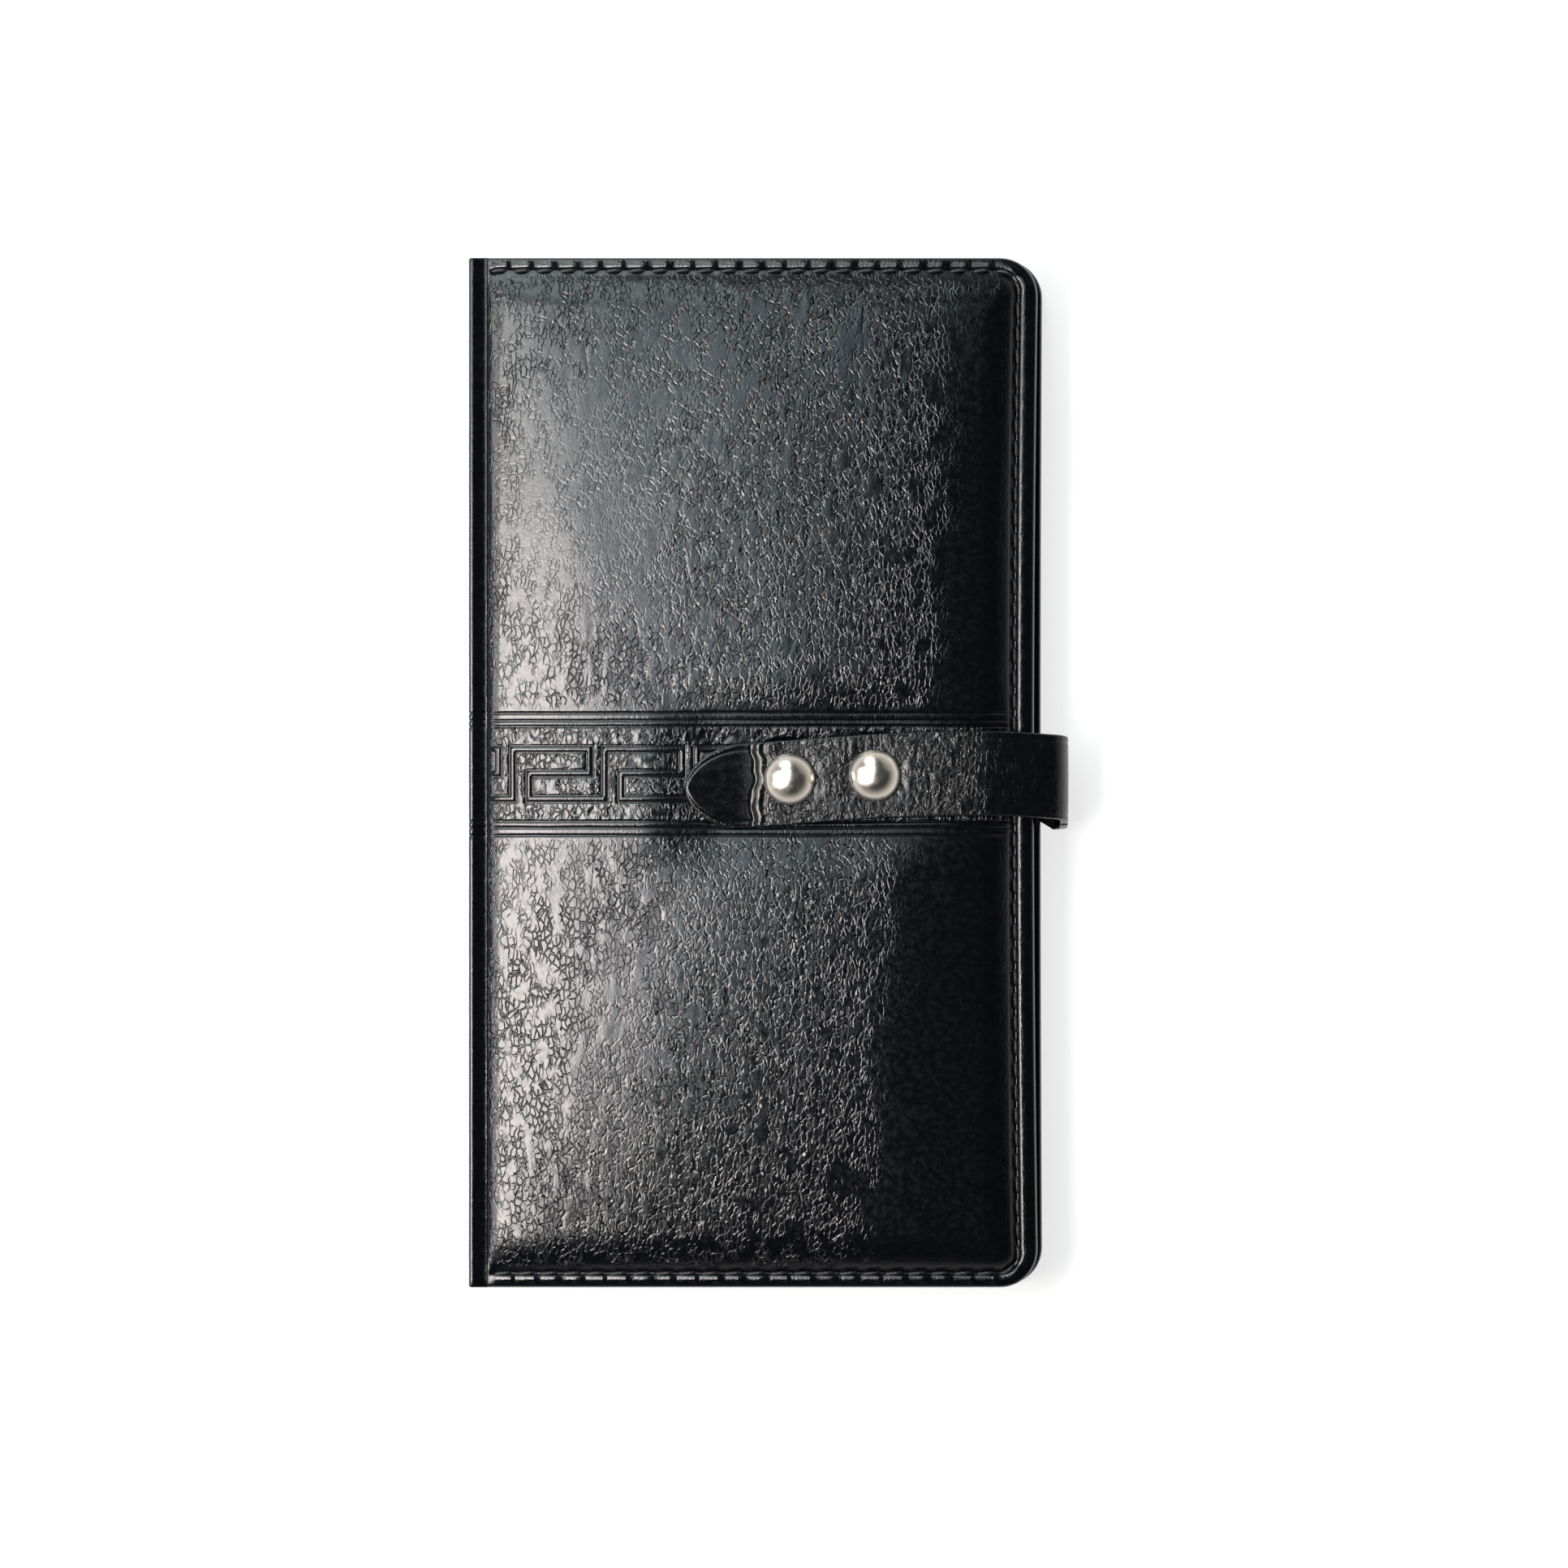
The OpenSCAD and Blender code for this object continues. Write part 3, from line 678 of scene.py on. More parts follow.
def threads(name, panel):
    """The seam's stitches: short tubes that dip into the leather at both ends, a little aslant."""
    xs, ys = panel.columns(), panel.rows()
    base, outs, seams, along = border_path(panel, xs, ys)
    line = base + outs * (RING_W - seams)[:, None]
    count = int(along[-1] / STITCH_PITCH)
    steps, sides = 11, 8
    points, faces = [], []
    for k in range(count):
        t = np.linspace(-1, 1, steps)
        d = (k + 0.5) * STITCH_PITCH + t * 1.68
        x = np.interp(d, along, line[:, 0])
        y = np.interp(d, along, line[:, 1])
        ahead = along_path(np.stack([x, y], 1))
        across = np.stack([-ahead[:, 1], ahead[:, 0]], 1)
        lean = 0.13 * t + 0.03 * (hashed(k, 3, 7) - 0.5)
        x, y = x + across[:, 0] * lean, y + across[:, 1] * lean
        height = -0.62 + 0.6 * (1 - np.abs(t) ** 2.6)
        radius = 0.17 + 0.19 * np.sqrt(np.clip(1 - t ** 2, 0, 1))
        faces += tube_faces(steps, sides, len(points))
        for i in range(steps):
            for s in range(sides):
                a = 2 * math.pi * s / sides
                side = radius[i] * math.cos(a)
                px, py = x[i] + across[i, 0] * side, y[i] + across[i, 1] * side
                points.append(panel.to_frame(px, py, height[i] + radius[i] * math.sin(a)))
    return face_outwards(make_mesh(name, points, faces))


def smooth_line(points, step):
    """Points at even steps along a smooth curve through the given (x, z) points."""
    p = np.array(points, float)
    p = np.vstack([2 * p[0] - p[1], p, 2 * p[-1] - p[-2]])
    dense = []
    for a, b, c, d in zip(p, p[1:], p[2:], p[3:]):
        for t in np.linspace(0, 1, 24, endpoint=False):
            dense.append(0.5 * (2 * b + (c - a) * t + (2 * a - 5 * b + 4 * c - d) * t ** 2
                                + (3 * b - a - 3 * c + d) * t ** 3))
    dense.append(p[-2])
    dense = np.array(dense)
    run = np.concatenate([[0], np.cumsum(np.linalg.norm(np.diff(dense, axis=0), axis=1))])
    at = np.linspace(0, run[-1], int(run[-1] / step) + 1)
    return np.stack([np.interp(at, run, dense[:, i]) for i in (0, 1)], 1)


# --- The leather round the spine ---

def wrinkles(arc, ys):
    """A strip's relief at a distance along its bend: slow swells and a net of folds."""
    swells = smooth_noise(np.full(len(ys), arc / 1.6), ys / 7, 41)
    return swells - 0.9 * ridge(cell_borders(np.full(len(ys), arc / 2.2), ys / 9, 42), 0.25)


def strip(name, stations, thickness, half_h, relief=0.0, lines=0.0, creased=(0.4, 0.4)):
    """
    A sheet along Y that bends round the spine. A station is an (x, z) point of its outer face and a normal.

    Relief is the height of its wrinkles, which grow over its turn, and lines the depth of the band's lines.
    Creased is how creased it is before and after its turn.
    """
    r = thickness / 2
    ys = list(np.linspace(-half_h + r, half_h - r, 170))
    if lines:
        ys += [line + v for line in BAND_LINES for v in (-0.3, -0.12, 0, 0.12, 0.3)]
    ys = thinned(ys, -half_h + r, half_h - r, 0.1)
    edge = [(half_h - r + r * math.cos(a), -r + r * math.sin(a))
            for a in np.radians((65, 40, 15, -15, -40, -65))]
    inner = [(y, -thickness) for y in np.linspace(half_h - r, -half_h + r, 60)]
    points, amounts = [], []
    arc, last = 0.0, len(stations) - 1
    for i, (x, z, nx, nz) in enumerate(stations):
        if i:
            arc += math.hypot(x - stations[i - 1][0], z - stations[i - 1][1])
        inside = ramp(min(i, last - i), 0, 2)
        turned = ramp(i / last, 0.5, 0.8)
        offsets = relief * (0.2 + 0.8 * turned) * inside * wrinkles(arc, ys)
        for line in BAND_LINES:
            offsets = offsets - lines * inside * ridge(ys - line, 0.3)
        outline = [*zip(ys, offsets), *edge, *inner, *((-y, o) for y, o in edge[::-1])]
        points += [(x + nx * o, y, z + nz * o) for y, o in outline]
        amounts += [creased[0] + (creased[1] - creased[0]) * turned] * len(outline)
    return face_outwards(make_mesh(name, points, tube_faces(len(stations), len(outline)), amounts))


# The turn in section, as distances from the spine's outer face and above the spine skin's end.
TURN_PATH = ((3.5, 3.5), (2.9, 3.52), (2.2, 3.66), (1.5, 3.86), (0.9, 4.02), (0.5, 4.03), (0.2, 3.85),
             (0.06, 3.45), (0.0, 2.8), (0.0, 1.4), (0.0, 0.0))


def turn_stations(spine_end_z, up):
    """Stations of the cover leather from a cover round to the spine: nearly flat, then a tight corner."""
    path = smooth_line([(SPINE_X + a, spine_end_z + up * b) for a, b in TURN_PATH], 0.17)
    ahead = along_path(path)
    return [(x, z, up * dz, -up * dx) for (x, z), (dx, dz) in zip(path, ahead)]


def lining_stations(panel_z, spine_z, spine_x):
    """Stations of the lining where it passes from a cover to the spine, on its side towards the pages."""
    s = 1 if panel_z > spine_z else -1
    corner = 1.6
    path = [(spine_x, panel_z - s * (corner + 2.4)), (spine_x, panel_z - s * (corner + 1.2))]
    path += [(spine_x + corner * (1 - math.cos(a)), panel_z - s * corner * (1 - math.sin(a)))
             for a in np.radians(np.linspace(0, 90, 9))]
    path += [(spine_x + corner + 1.2, panel_z), (spine_x + corner + 2.6, panel_z)]
    return [(x, z, s * dz, -s * dx) for (x, z), (dx, dz) in zip(path, along_path(path))]


# --- Strap ---

STRAP_T = 1.5
STRAP_W = 15.4
STRAP_TIP_X = -13.0
STRAP_TIP_L = 10.0
STRAP_TIP_POWER = 1.85
BEND_R = 3.7
BEND_X = 52.6
BEND_LOW_Z, BEND_HIGH_Z = 7.0, 13.5
STRAP_Z = TOTAL_T + 2.35            # middle of the strap's thickness over the snaps
CREASE_X = 1.75                     # the strap's fold beside the snaps
CUT_R = 0.34                        # radius of the strap's cut edges
STRAP_COLUMNS = 40                  # mesh columns across its outer face


def bend(centre_z, start_deg, end_deg, count=6):
    """Points of one of the strap's two bends round the fore-edge."""
    return [(BEND_X + BEND_R * math.cos(a), centre_z + BEND_R * math.sin(a))
            for a in np.radians(np.linspace(start_deg, end_deg, count))]


def strap_middle(line):
    """The strap's middle in Y at each (x, z) point of its line."""
    side = (line[:, 0] > BEND_X) & (line[:, 1] < BEND_HIGH_Z + 2.7)
    middle = np.where(side, np.interp(line[:, 1], *zip(*SIDE_Y)), np.interp(line[:, 0], *zip(*FLAP_Y)))
    return np.convolve(np.pad(middle, 4, mode="edge"), np.ones(9) / 9, mode="valid")


def strap_relief(x, y, across, half_w, on_top):
    """Height of the strap's outer face over its thickness, and how creased it is."""
    textured = on_top * ramp(x, 0.6, 2.4) * ramp(x, 43, 38)
    folds = ridge(cell_borders(x / 1.7, y / 3.4, 52), 0.28)
    relief = 0.05 * smooth_noise(x / 1.3, y / 2.4, 51) - 0.10 * folds
    lift = textured * relief * 0.8 - 0.02 * (1 - textured)
    lift += 0.06 * (1 - (across / max(half_w, 0.1)) ** 2)
    lift -= 0.1 * (half_w > 1.6) * ridge(np.abs(across) - (half_w - 1.15), 0.4) * (1 - 0.7 * textured)
    if on_top:
        wander = 0.4 * smooth_noise(y / 3.3, y * 0, 53) + 0.22 * smooth_noise(y / 1.1, y * 0, 54)
        swell = 0.8 + 0.5 * smooth_noise(y / 2.1, y * 0 + 0.5, 55)
        lift -= 0.4 * ridge(x - CREASE_X - wander, 0.55)
        lift += 0.12 * swell * ridge(x - CREASE_X + 0.85 - wander, 0.6)
        lift -= 0.14 * ridge(x - CREASE_X + 2.2 - 1.8 * wander, 0.4)
        for sx, sy in SNAPS:
            lift -= 0.14 * ramp(np.hypot(x - sx, y - sy), 7.2, 4.8)
    return lift, float(textured[0])


def strap_outline(across, lift, half_w, t, edge):
    """The strap's section as (across, height) points: outer face, cut edge, inner face, cut edge."""
    r = min(CUT_R, half_w * 0.5)
    flat = half_w - edge
    right = [(math.radians(a), t - r) for a in (72, 48, 24, 0)]
    right += [(math.radians(a), r - t) for a in (-24, -48, -72)]
    left = [(math.radians(a), r - t) for a in (-72, -48, -24, 0)]
    left += [(math.radians(a), t - r) for a in (24, 48, 72)]
    outline = [(a, t + v) for a, v in zip(across, lift)]
    outline += [(flat + edge * math.cos(a), z + r * math.sin(a)) for a, z in right]
    outline += [(a, -t) for a in np.linspace(flat, -flat, 14)]
    return outline + [(-flat - edge * math.cos(a), z + r * math.sin(a)) for a, z in left]


def strap_mesh(name, line, half_t):
    """The strap along a line of (x, z) points, with rounded cut edges, narrowed to a tip at STRAP_TIP_X."""
    ahead = along_path(line)
    # the line runs up the side and then towards the spine, so its outer face is on its right
    normal = np.stack([ahead[:, 1], -ahead[:, 0]], 1)
    middle = strap_middle(line)
    spread = np.sin(np.linspace(-1.25, 1.25, STRAP_COLUMNS))
    points, amounts = [], []
    for i, (x, z) in enumerate(line):
        past = np.clip((STRAP_TIP_X + STRAP_TIP_L - x) / STRAP_TIP_L, 0, 0.9995)
        half_w = STRAP_W / 2 * (1 - past ** STRAP_TIP_POWER) ** (1 / STRAP_TIP_POWER)
        t = half_t[i] * min(1.0, 0.55 + 0.45 * half_w / half_t[i])
        # the tip's cut edge is pared to a wider bevel
        edge = min(CUT_R + 0.5 * np.clip(2.5 * past, 0, 1), half_w * 0.5)
        across = (half_w - edge) * spread / math.sin(1.25)
        on_top = z > BEND_HIGH_Z + 3
        lift, textured = strap_relief(np.full(STRAP_COLUMNS, x), middle[i] + across, across, half_w, on_top)
        outline = strap_outline(across, lift, half_w, t, edge)
        # the crease beside the snaps isn't quite straight
        near_crease = on_top * ramp(abs(x - CREASE_X + 0.8), 4.0, 0.8)
        for a, o in outline:
            shift = near_crease * (0.32 * math.sin(0.55 * a + 0.6) + 0.14 * math.sin(1.9 * a))
            points.append((x + shift + normal[i, 0] * o, middle[i] + a, z + normal[i, 1] * o))
        least = 0.0 if x < CREASE_X else 0.2
        amounts += [least + (1 - least) * textured] * STRAP_COLUMNS + [0.4] * (len(outline) - STRAP_COLUMNS)
    return face_outwards(make_mesh(name, points, tube_faces(len(line), len(outline)), amounts))


# --- Make every piece ---

front_panel = Panel(FRONT_EDGE_X, TOTAL_T, 1, rise=0.9, crown=2.8, peak_x=20, seams=(2.3, 3.5, 2.6), bow=0.8)
back_panel = Panel(BACK_EDGE_X, 0, -1, rise=0.9, crown=0.7, peak_x=0, seams=(2.4, 2.9, 2.5), bow=0.3)

front_skin = face_outwards(cover_skin("front_cover_leather", front_panel))
back_skin = face_outwards(cover_skin("back_cover_leather", back_panel))
for skin, body, node in ((front_skin, "front_cover", "front_leather"),
                         (back_skin, "back_cover", "back_leather")):
    dress(skin, COVER)
    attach(skin, body)
    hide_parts(node)

for name, panel, body, node in (("front_seam_thread", front_panel, "front_cover", "front_stitching"),
                                ("back_seam_thread", back_panel, "back_cover", "back_stitching")):
    piece = dress(threads(name, panel), THREAD)
    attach(piece, body)
    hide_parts(node)

LOW_TURN_Z = PAD_RISE + SPINE_R
HIGH_TURN_Z = TOTAL_T - LOW_TURN_Z
spine_zs = np.linspace(HIGH_TURN_Z, LOW_TURN_Z, 15)
spine_skin = strip("spine_leather_skin", [(SPINE_X, z, -1, 0) for z in spine_zs], LEATHER_T, HALF_H,
                   0.05, 0.12)
dress(spine_skin, COVER)
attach(spine_skin, "spine")
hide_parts("spine_leather")

TURN_SHEET = (LEATHER_T, HALF_H, 0.04, 0.14, (0.06, 0.4))   # what both turns pass to strip
front_turn = strip("front_turn_leather", turn_stations(HIGH_TURN_Z, 1), *TURN_SHEET)
dress(front_turn, TURN)
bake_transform(front_turn)
back_turn = strip("back_turn_leather", turn_stations(LOW_TURN_Z, -1), *TURN_SHEET)
dress(back_turn, TURN)
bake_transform(back_turn)

for node in ("back_foam", "front_foam"):
    dress(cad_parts[node], FOAM)
for node in ("back_board", "front_board", "spine_board"):
    dress(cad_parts[node], BOARD)
for node in ("stud_post_left", "stud_post_right", "spring_ring_left", "spring_ring_right"):
    dress(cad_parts[node], HIDDEN_METAL)

# --- Strap and snaps ---

seam_z = BEND_LOW_Z - BEND_R
mid_side = (BEND_X + BEND_R, (BEND_LOW_Z + BEND_HIGH_Z) / 2)
low_line = smooth_line([(BEND_X - 11, seam_z), (BEND_X - 6, seam_z), (BEND_X - 1.5, seam_z)]
                       + bend(BEND_LOW_Z, 272, 358) + [mid_side], 0.45)
high_line = smooth_line([mid_side] + bend(BEND_HIGH_Z, 2, 78) + [
    (50, STRAP_Z - 2.0), (45, STRAP_Z - 1.05), (38, STRAP_Z - 0.3), (29, STRAP_Z - 0.02), (20, STRAP_Z),
    (10, STRAP_Z), (3.2, STRAP_Z), (1.5, STRAP_Z), (0.9, STRAP_Z - 0.08), (0.4, STRAP_Z - 0.34),
    (-0.1, STRAP_Z - 0.62), (-0.8, STRAP_Z - 0.7), (-2.8, STRAP_Z - 0.66), (-6, STRAP_Z - 0.42),
    (-9.5, STRAP_Z - 0.1),
    (-11.8, STRAP_Z + 0.13), (-13, STRAP_Z + 0.28)], 0.33)
low_t = 0.5 + (STRAP_T - 1.0) / 2 * ramp(low_line[:, 0], BEND_X - 0.6, BEND_X + 1.2)
strap_low = strap_mesh("strap_lower", low_line, low_t)
strap_high = strap_mesh("strap_upper", high_line, np.full(len(high_line), STRAP_T / 2))
for piece in (strap_low, strap_high):
    dress(piece, STRAP)
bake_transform(strap_low)
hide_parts("strap_root")
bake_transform(strap_high)
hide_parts("strap_side", "strap_flap")

CAP_R, DOME_H, CAP_SKIRT = 4.72, 2.55, 0.35


def cap_profile(base):
    """A domed cap: a short skirt that turns in at the strap, and an even dome."""
    skirt = [(0, base - 0.1), (CAP_R - 0.5, base - 0.1), (CAP_R - 0.3, base - 0.06),
             (CAP_R - 0.12, base + 0.04), (CAP_R - 0.02, base + 0.16)]
    dome_r = (CAP_R ** 2 + DOME_H ** 2) / (2 * DOME_H)
    widest = math.asin(CAP_R / dome_r)
    top = base + CAP_SKIRT + DOME_H
    return skirt + [(dome_r * math.sin(a), top - dome_r * (1 - math.cos(a)))
                    for a in np.linspace(widest, 0, 38)]


for side, (sx, sy) in zip(("left", "right"), SNAPS):
    cap_base = box_mm(f"snap_cap_{side}")[1][2] - 2.8
    cap = dress(lathe(f"domed_cap_{side}", cap_profile(cap_base), (sx, sy), 96), CAP_METAL)
    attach(cap, "strap_flap")
    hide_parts(f"snap_cap_{side}")

    low, high = (c[2] for c in box_mm(f"snap_socket_{side}"))
    socket = [(2.06, high), (2.06, low + 0.15), (2.2, low), (3.1, low), (3.3, low + 0.12), (3.5, low + 0.45),
              (3.95, low + 0.55), (4.2, low + 0.42), (4.42, low + 0.5), (4.5, low + 0.75), (4.5, high - 0.1),
              (4.4, high)]
    piece = dress(lathe(f"socket_{side}", socket, (sx, sy), 72, ring=True), SNAP_METAL)
    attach(piece, "strap_flap")
    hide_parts(f"snap_socket_{side}")

    low, high = (c[2] for c in box_mm(f"stud_{side}"))
    stud = [(0, low + 0.05), (3.7, low + 0.05), (3.88, low + 0.18), (3.84, low + 0.36), (3.4, low + 0.5),
            (2.2, low + 0.52), (1.62, low + 0.62), (1.5, low + 0.85), (1.55, low + 1.05), (1.85, low + 1.2),
            (1.95, low + 1.5), (1.9, low + 1.9), (1.7, high - 0.12), (1.35, high), (0.9, high - 0.02),
            (0.75, high - 0.25), (0.55, high - 0.4), (0, high - 0.42)]
    piece = dress(lathe(f"snap_stud_{side}", stud, (sx, sy), 72), SNAP_METAL)
    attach(piece, "front_cover")
    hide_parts(f"stud_{side}")


# --- The insert ---

BACK_FOLD_R, FRONT_FOLD_R = 0.7, 1.5    # folds of the insert's card beside its spine


def leaf_stack(name, node, count, seed):
    """Leaves that fill a CAD block's box, each a hair longer or shorter than the next.

    The outer two are ruled: the paper's lines show where a mesh is marked as creased.
    """
    low, high = box_mm(node)
    points, faces, amounts = [], [], []
    zs = np.linspace(low[2], high[2], count + 1)
    for k in range(count):
        trim = 0.16 * hashed(k, np.arange(4), seed)
        x0, x1 = low[0], high[0] - trim[0]
        y0, y1 = low[1] + trim[1], high[1] - trim[2]
        z0, z1 = zs[k] + 0.012, zs[k + 1] - 0.012
        f = len(points)
        for z in (z0, z1):
            points += [(x0, y0, z), (x1, y0, z), (x1, y1, z), (x0, y1, z)]
        faces += [(f, f + 3, f + 2, f + 1), (f + 4, f + 5, f + 6, f + 7)]
        faces += [(f + a, f + b, f + b + 4, f + a + 4) for a, b in ((0, 1), (1, 2), (2, 3), (3, 0))]
        amounts += [1.0 if k in (0, count - 1) else 0.0] * 8
    obj = make_mesh(name, points, faces, amounts)
    obj.data.polygons.foreach_set("use_smooth", np.zeros(len(obj.data.polygons), bool))
    return obj


for name, node, body, count, seed in (("leaves_block", "page_block", "back_cover", 34, 61),
                                      ("leaves_turned", "front_pages", "front_leaves", 6, 62)):
    piece = dress(leaf_stack(name, node, count, seed), PAPER)
    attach(piece, body)
    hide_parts(node)


def card_path(back_x, back_z, front_x, front_z, spine_x):
    """The insert's card in section: (x, z) points from the back card's fore-edge to the front card's."""
    path = [(x, back_z) for x in np.linspace(back_x, spine_x + BACK_FOLD_R, 40)]
    fold_z = back_z + BACK_FOLD_R
    path += [(spine_x + BACK_FOLD_R - BACK_FOLD_R * math.sin(a), fold_z - BACK_FOLD_R * math.cos(a))
             for a in np.radians((18, 36, 54, 72, 90))]
    turn_z = front_z - FRONT_FOLD_R
    path += [(spine_x, z) for z in np.linspace(fold_z, turn_z, 8)[1:]]
    path += [(spine_x + FRONT_FOLD_R * (1 - math.cos(a)), turn_z + FRONT_FOLD_R * math.sin(a))
             for a in np.radians(np.arange(12, 90, 12))]
    return path + [(x, front_z) for x in np.linspace(spine_x + (FRONT_FOLD_R + 0.1), front_x, 44)]


def insert_cover():
    """The insert's card cover: one card, folded round its spine, with rounded corners at the fore-edge."""
    back_low, back_high = box_mm("insert_back_card")
    front_low, front_high = box_mm("insert_front_card")
    spine_low, spine_high = box_mm("insert_spine_card")
    half_t = (back_high[2] - back_low[2]) / 2
    front_z = front_low[2] + half_t
    spine_x = (spine_low[0] + spine_high[0]) / 2
    path = card_path(back_high[0], back_low[2] + half_t, front_high[0], front_z, spine_x)
    ahead = along_path(path)
    normal = np.stack([-ahead[:, 1], ahead[:, 0]], 1)
    corner, columns = 5.0, 24
    points = []
    for (x, z), (nx, nz) in zip(path, normal):
        past = max(0.0, x - (front_high[0] - corner))
        half_y = back_high[1] - corner + math.sqrt(max(corner ** 2 - past ** 2, 0.04))
        ys = np.linspace(-half_y, half_y, columns)
        points += [(x + nx * half_t, y, z + nz * half_t) for y in ys]
        points += [(x - nx * half_t, y, z - nz * half_t) for y in ys[::-1]]
    obj = face_outwards(make_mesh("insert_card_cover", points, tube_faces(len(path), 2 * columns)))
    dress(obj, CARD)
    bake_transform(obj)
    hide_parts("insert_back_card", "insert_spine_card", "insert_front_card")


insert_cover()

# --- Linings and sleeves ---

SLEEVE_RIM = 2.9


def sheet_outline(low, high, inset, mouth_inset, corner):
    """A sheet's outline from above: square corners towards the spine, round ones at the fore-edge."""
    x0, x1, y1 = low[0] + mouth_inset, high[0] - inset, high[1] - inset
    r = max(corner - inset, 0.4)
    tail = [(x, -y1) for x in np.linspace(x0, x1 - r, 24)]
    tail += [(x1 - r + r * math.sin(a), -y1 + r - r * math.cos(a)) for a in np.radians(np.arange(10, 90, 10))]
    fore = [(x1, y) for y in np.linspace(-y1 + r, y1 - r, 40)]
    head = [(x, -y) for x, y in tail[::-1]]
    rim_y = high[1] - SLEEVE_RIM
    mouth = [(x0, y) for y in (rim_y + 0.2, *np.linspace(rim_y - 0.2, 0.2 - rim_y, 38), -rim_y - 0.2)]
    return np.array(tail + fore + head + mouth), len(mouth)


def cloth_sheet(name, node, up, pocket=0.0):
    """A sheet of lining with rolled edges, or a sleeve sewn over a pocket that opens towards the spine."""
    low, high = box_mm(node)
    face_z, foot_z = (high[2], low[2]) if up > 0 else (low[2], high[2])
    corner = CORNER_R - 1.5
    seam = 0.1 if pocket else 0
    levels = [(2.6, 0), (2.0, 0), (1.75, seam), (1.5, 0), (0.5, 0), (0.24, 0.02), (0.08, 0.1), (0, 0.22)]
    rings = [(inset, inset, face_z - up * depth) for inset, depth in levels]
    rings.append((0, 0, foot_z))
    if pocket:
        rings += [(SLEEVE_RIM, 0.3, foot_z), (SLEEVE_RIM + 0.1, 0.6, foot_z + up * pocket)]
    points = []
    for inset, mouth_inset, z in rings:
        line, mouth_n = sheet_outline(low, high, inset, mouth_inset, corner)
        zs = np.full(len(line), z)
        if pocket:
            # the mouth's middle stays open down to the pocket
            open_z = foot_z + up * pocket
            zs[-mouth_n + 1:-1] = np.maximum(z, open_z) if up > 0 else np.minimum(z, open_z)
        points += [(x, y, h) for (x, y), h in zip(line, zs)]
    faces = tube_faces(len(rings), len(points) // len(rings))
    piece = dress(face_outwards(make_mesh(name, points, faces)), LINING)
    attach(piece, node.split("_")[0] + "_cover")
    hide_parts(node)


SLEEVE_POCKET = 0.5
cloth_sheet("back_lining_cloth", "back_lining", 1)
cloth_sheet("front_lining_cloth", "front_lining", -1)
cloth_sheet("back_sleeve_cloth", "back_sleeve", 1, SLEEVE_POCKET)
cloth_sheet("front_sleeve_cloth", "front_sleeve", -1, SLEEVE_POCKET)

spine_lining_low, spine_lining_high = box_mm("spine_lining")
spine_lining_zs = np.linspace(spine_lining_low[2], spine_lining_high[2], 9)
spine_lining = strip("spine_lining_cloth", [(spine_lining_high[0], z, 1, 0) for z in spine_lining_zs],
                     spine_lining_high[0] - spine_lining_low[0], spine_lining_high[1])
dress(spine_lining, LINING)
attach(spine_lining, "spine")
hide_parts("spine_lining")

# The lining where it crosses the two turns.
lining_half_h = spine_lining_high[1] - 0.3
for name, panel_z, body in (("front_lining_turn", box_mm("front_lining")[0][2] - 0.05, "front_cover"),
                            ("back_lining_turn", box_mm("back_lining")[1][2] + 0.05, "back_cover")):
    stations = lining_stations(panel_z, (HIGH_TURN_Z + LOW_TURN_Z) / 2, spine_lining_high[0] + 0.05)
    piece = strip(name, stations, 0.25, lining_half_h)
    dress(piece, LINING)
    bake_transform(piece)

# --- Floor, light and camera ---

def make_floor():
    """A wide floor that glows a little, so that it shows as white."""
    mesh = bpy.data.meshes.new("floor")
    half = 4.0
    corners = [(-half, -half, 0), (half, -half, 0), (half, half, 0), (-half, half, 0)]
    mesh.from_pydata(corners, [], [(0, 1, 2, 3)])
    floor = bpy.data.objects.new("floor", mesh)
    bpy.context.scene.collection.objects.link(floor)
    n = Nodes("white_floor")
    n.shade("Base Color", (0.4, 0.4, 0.4, 1))
    n.shade("Roughness", 0.9)
    n.shade("Specular IOR Level", 0.1)
    n.shade("Emission Color", (1, 1, 1, 1))
    n.shade("Emission Strength", 0.75)
    floor.data.materials.append(n.material)


def soft_light(name, middle, size, radiance, tint, spin_deg=0.0):
    """A flat soft box that faces straight down. Radiance is how bright it looks, so it holds for any size."""
    light = bpy.data.lights.new(name, "AREA")
    light.shape = "RECTANGLE"
    light.size, light.size_y = size
    light.energy = math.pi * size[0] * size[1] * radiance
    light.color = tint
    obj = bpy.data.objects.new(name, light)
    bpy.context.scene.collection.objects.link(obj)
    obj.location = middle
    obj.rotation_euler = (0, 0, math.radians(spin_deg))


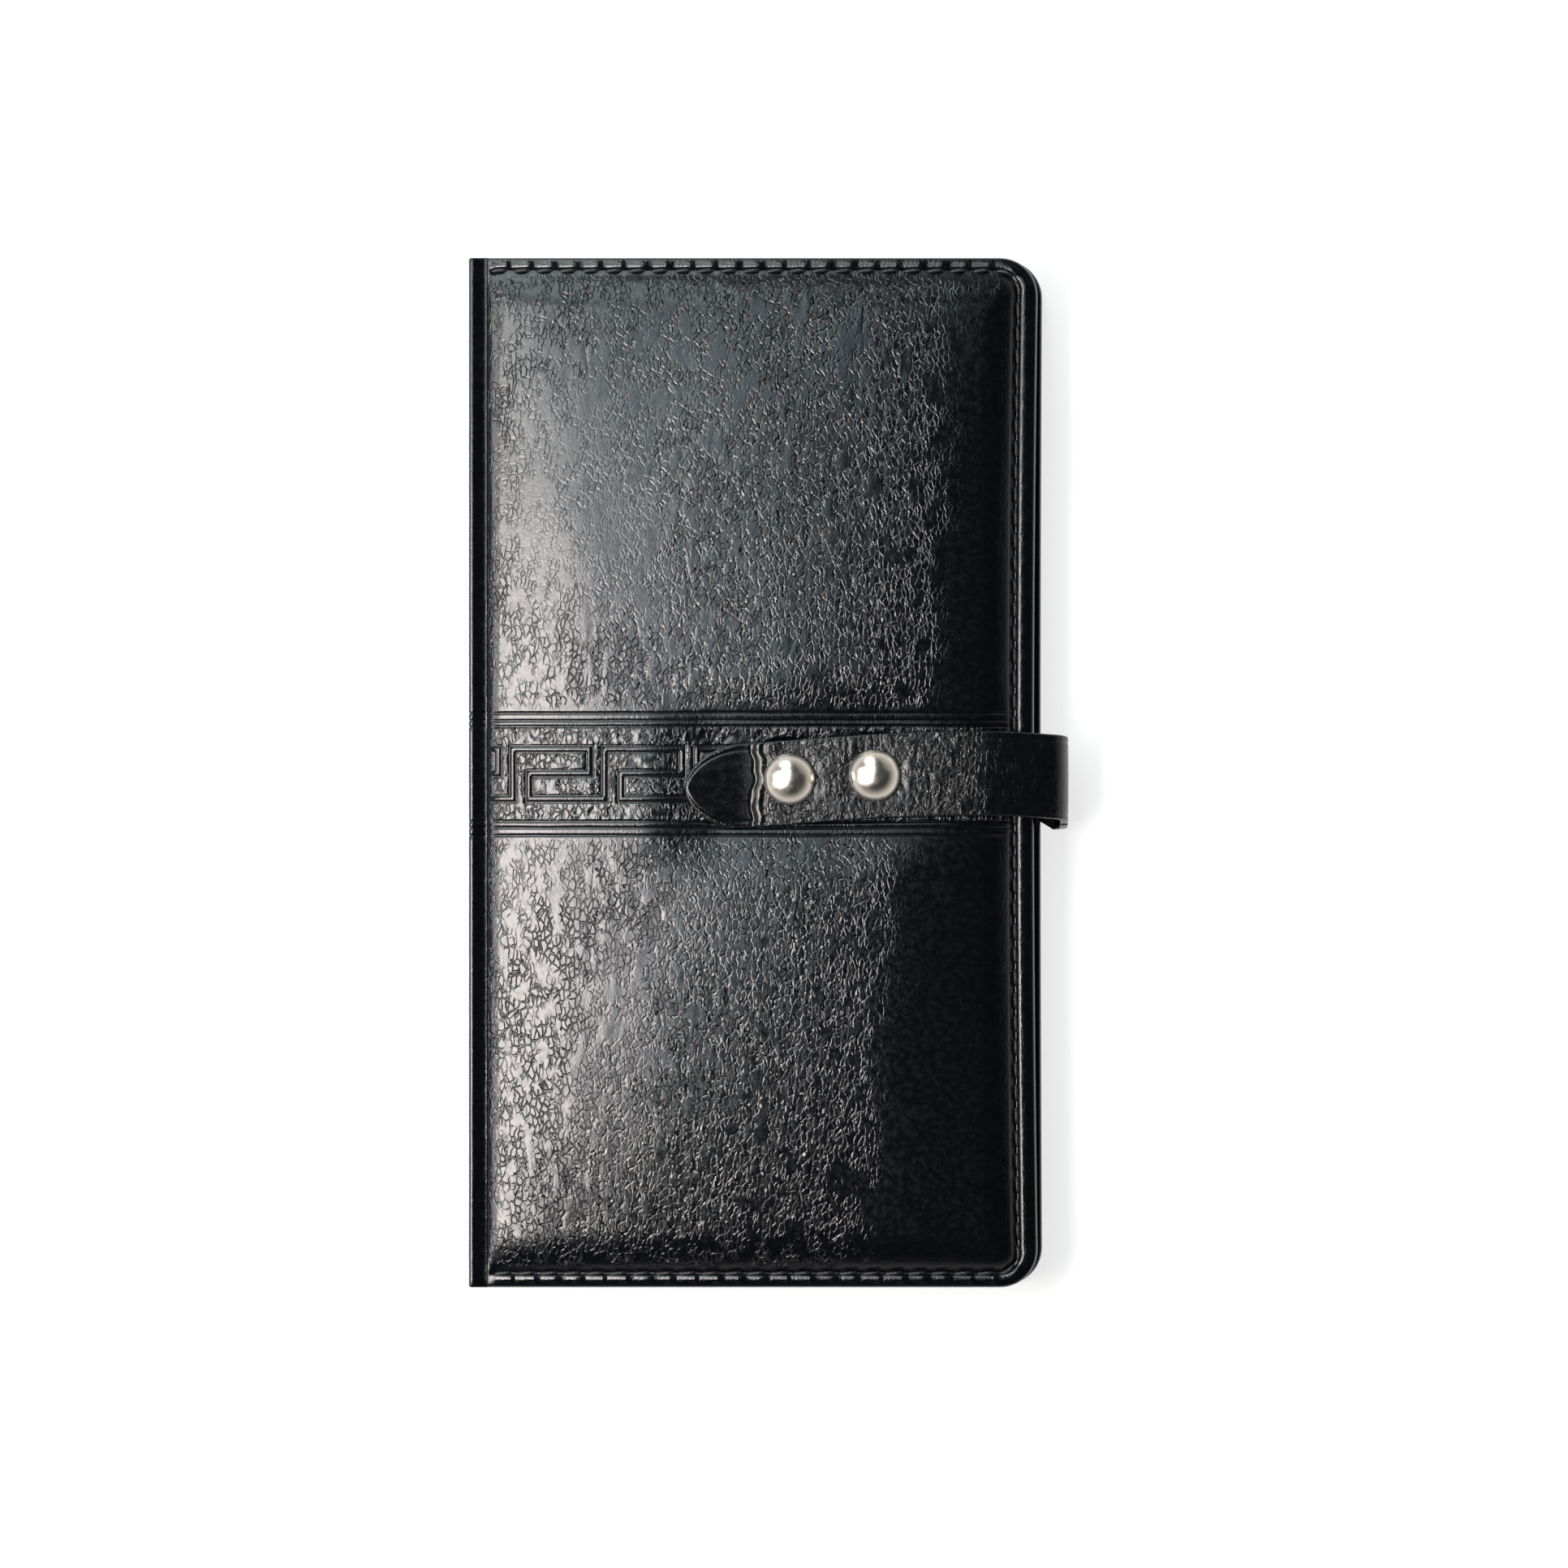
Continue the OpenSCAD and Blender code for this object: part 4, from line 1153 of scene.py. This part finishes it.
def make_world():
    """A dim room, brighter towards the horizon."""
    world = bpy.data.worlds.new("soft_room")
    world.use_nodes = True
    tree = world.node_tree
    background = tree.nodes["Background"]
    parts = tree.nodes.new("ShaderNodeSeparateXYZ")
    rise = tree.nodes.new("ShaderNodeMapRange")
    rise.interpolation_type = "SMOOTHSTEP"
    for key, value in (("From Min", 0.0), ("From Max", 0.65), ("To Min", 0.75), ("To Max", 0.03)):
        rise.inputs[key].default_value = value
    tree.links.new(tree.nodes.new("ShaderNodeTexCoord").outputs["Generated"], parts.inputs[0])
    tree.links.new(parts.outputs["Z"], rise.inputs["Value"])
    tree.links.new(rise.outputs["Result"], background.inputs["Strength"])
    background.inputs["Color"].default_value = (1.0, 0.96, 0.92, 1)
    bpy.context.scene.world = world


def make_stage():
    make_floor()
    soft_light("window_low", (-0.150, -0.045, 0.36), (0.135, 0.20), 20, (1.0, 0.93, 0.90), -4)
    soft_light("window_high", (-0.115, 0.12, 0.36), (0.075, 0.13), 9.5, (0.98, 1.0, 1.0), -10)
    soft_light("sky", (-0.037, 0.075, 0.37), (0.085, 0.33), 2.5, (0.84, 1.0, 1.10), -14)
    soft_light("sky_far", (-0.11, 0.42, 0.37), (0.22, 0.38), 4.2, (0.86, 1.0, 0.99))
    soft_light("top_window", (-0.26, 0.80, 0.40), (0.36, 0.38), 7.5, (0.92, 1.0, 0.97))
    soft_light("side_window", (-0.42, -0.02, 0.38), (0.36, 0.5), 5.5, (1.0, 0.97, 0.94))
    soft_light("fill", (0.55, 0.50, 0.40), (0.5, 0.6), 0.15, (1.0, 0.96, 0.92))
    make_world()
    bpy.context.scene.view_settings.view_transform = "Standard"
    bpy.context.scene.view_settings.look = "None"


def make_camera():
    """Looks straight down, far off, so that the whole frame is 286 mm wide at the front cover's face."""
    frame_w, away, aim = 286 * MM, 2.4, Vector((5.1 * MM, -2.07 * MM, 0))
    cam = bpy.data.cameras.new("camera")
    cam.sensor_width = 36
    cam.lens = cam.sensor_width * away / frame_w
    obj = bpy.data.objects.new("camera", cam)
    bpy.context.scene.collection.objects.link(obj)
    obj.location = aim + Vector((0, 0, away + TOTAL_T * MM))
    obj.rotation_euler = (0, 0, 0)
    cam.clip_start, cam.clip_end = 0.1, 20
    bpy.context.scene.camera = obj


make_stage()
make_camera()
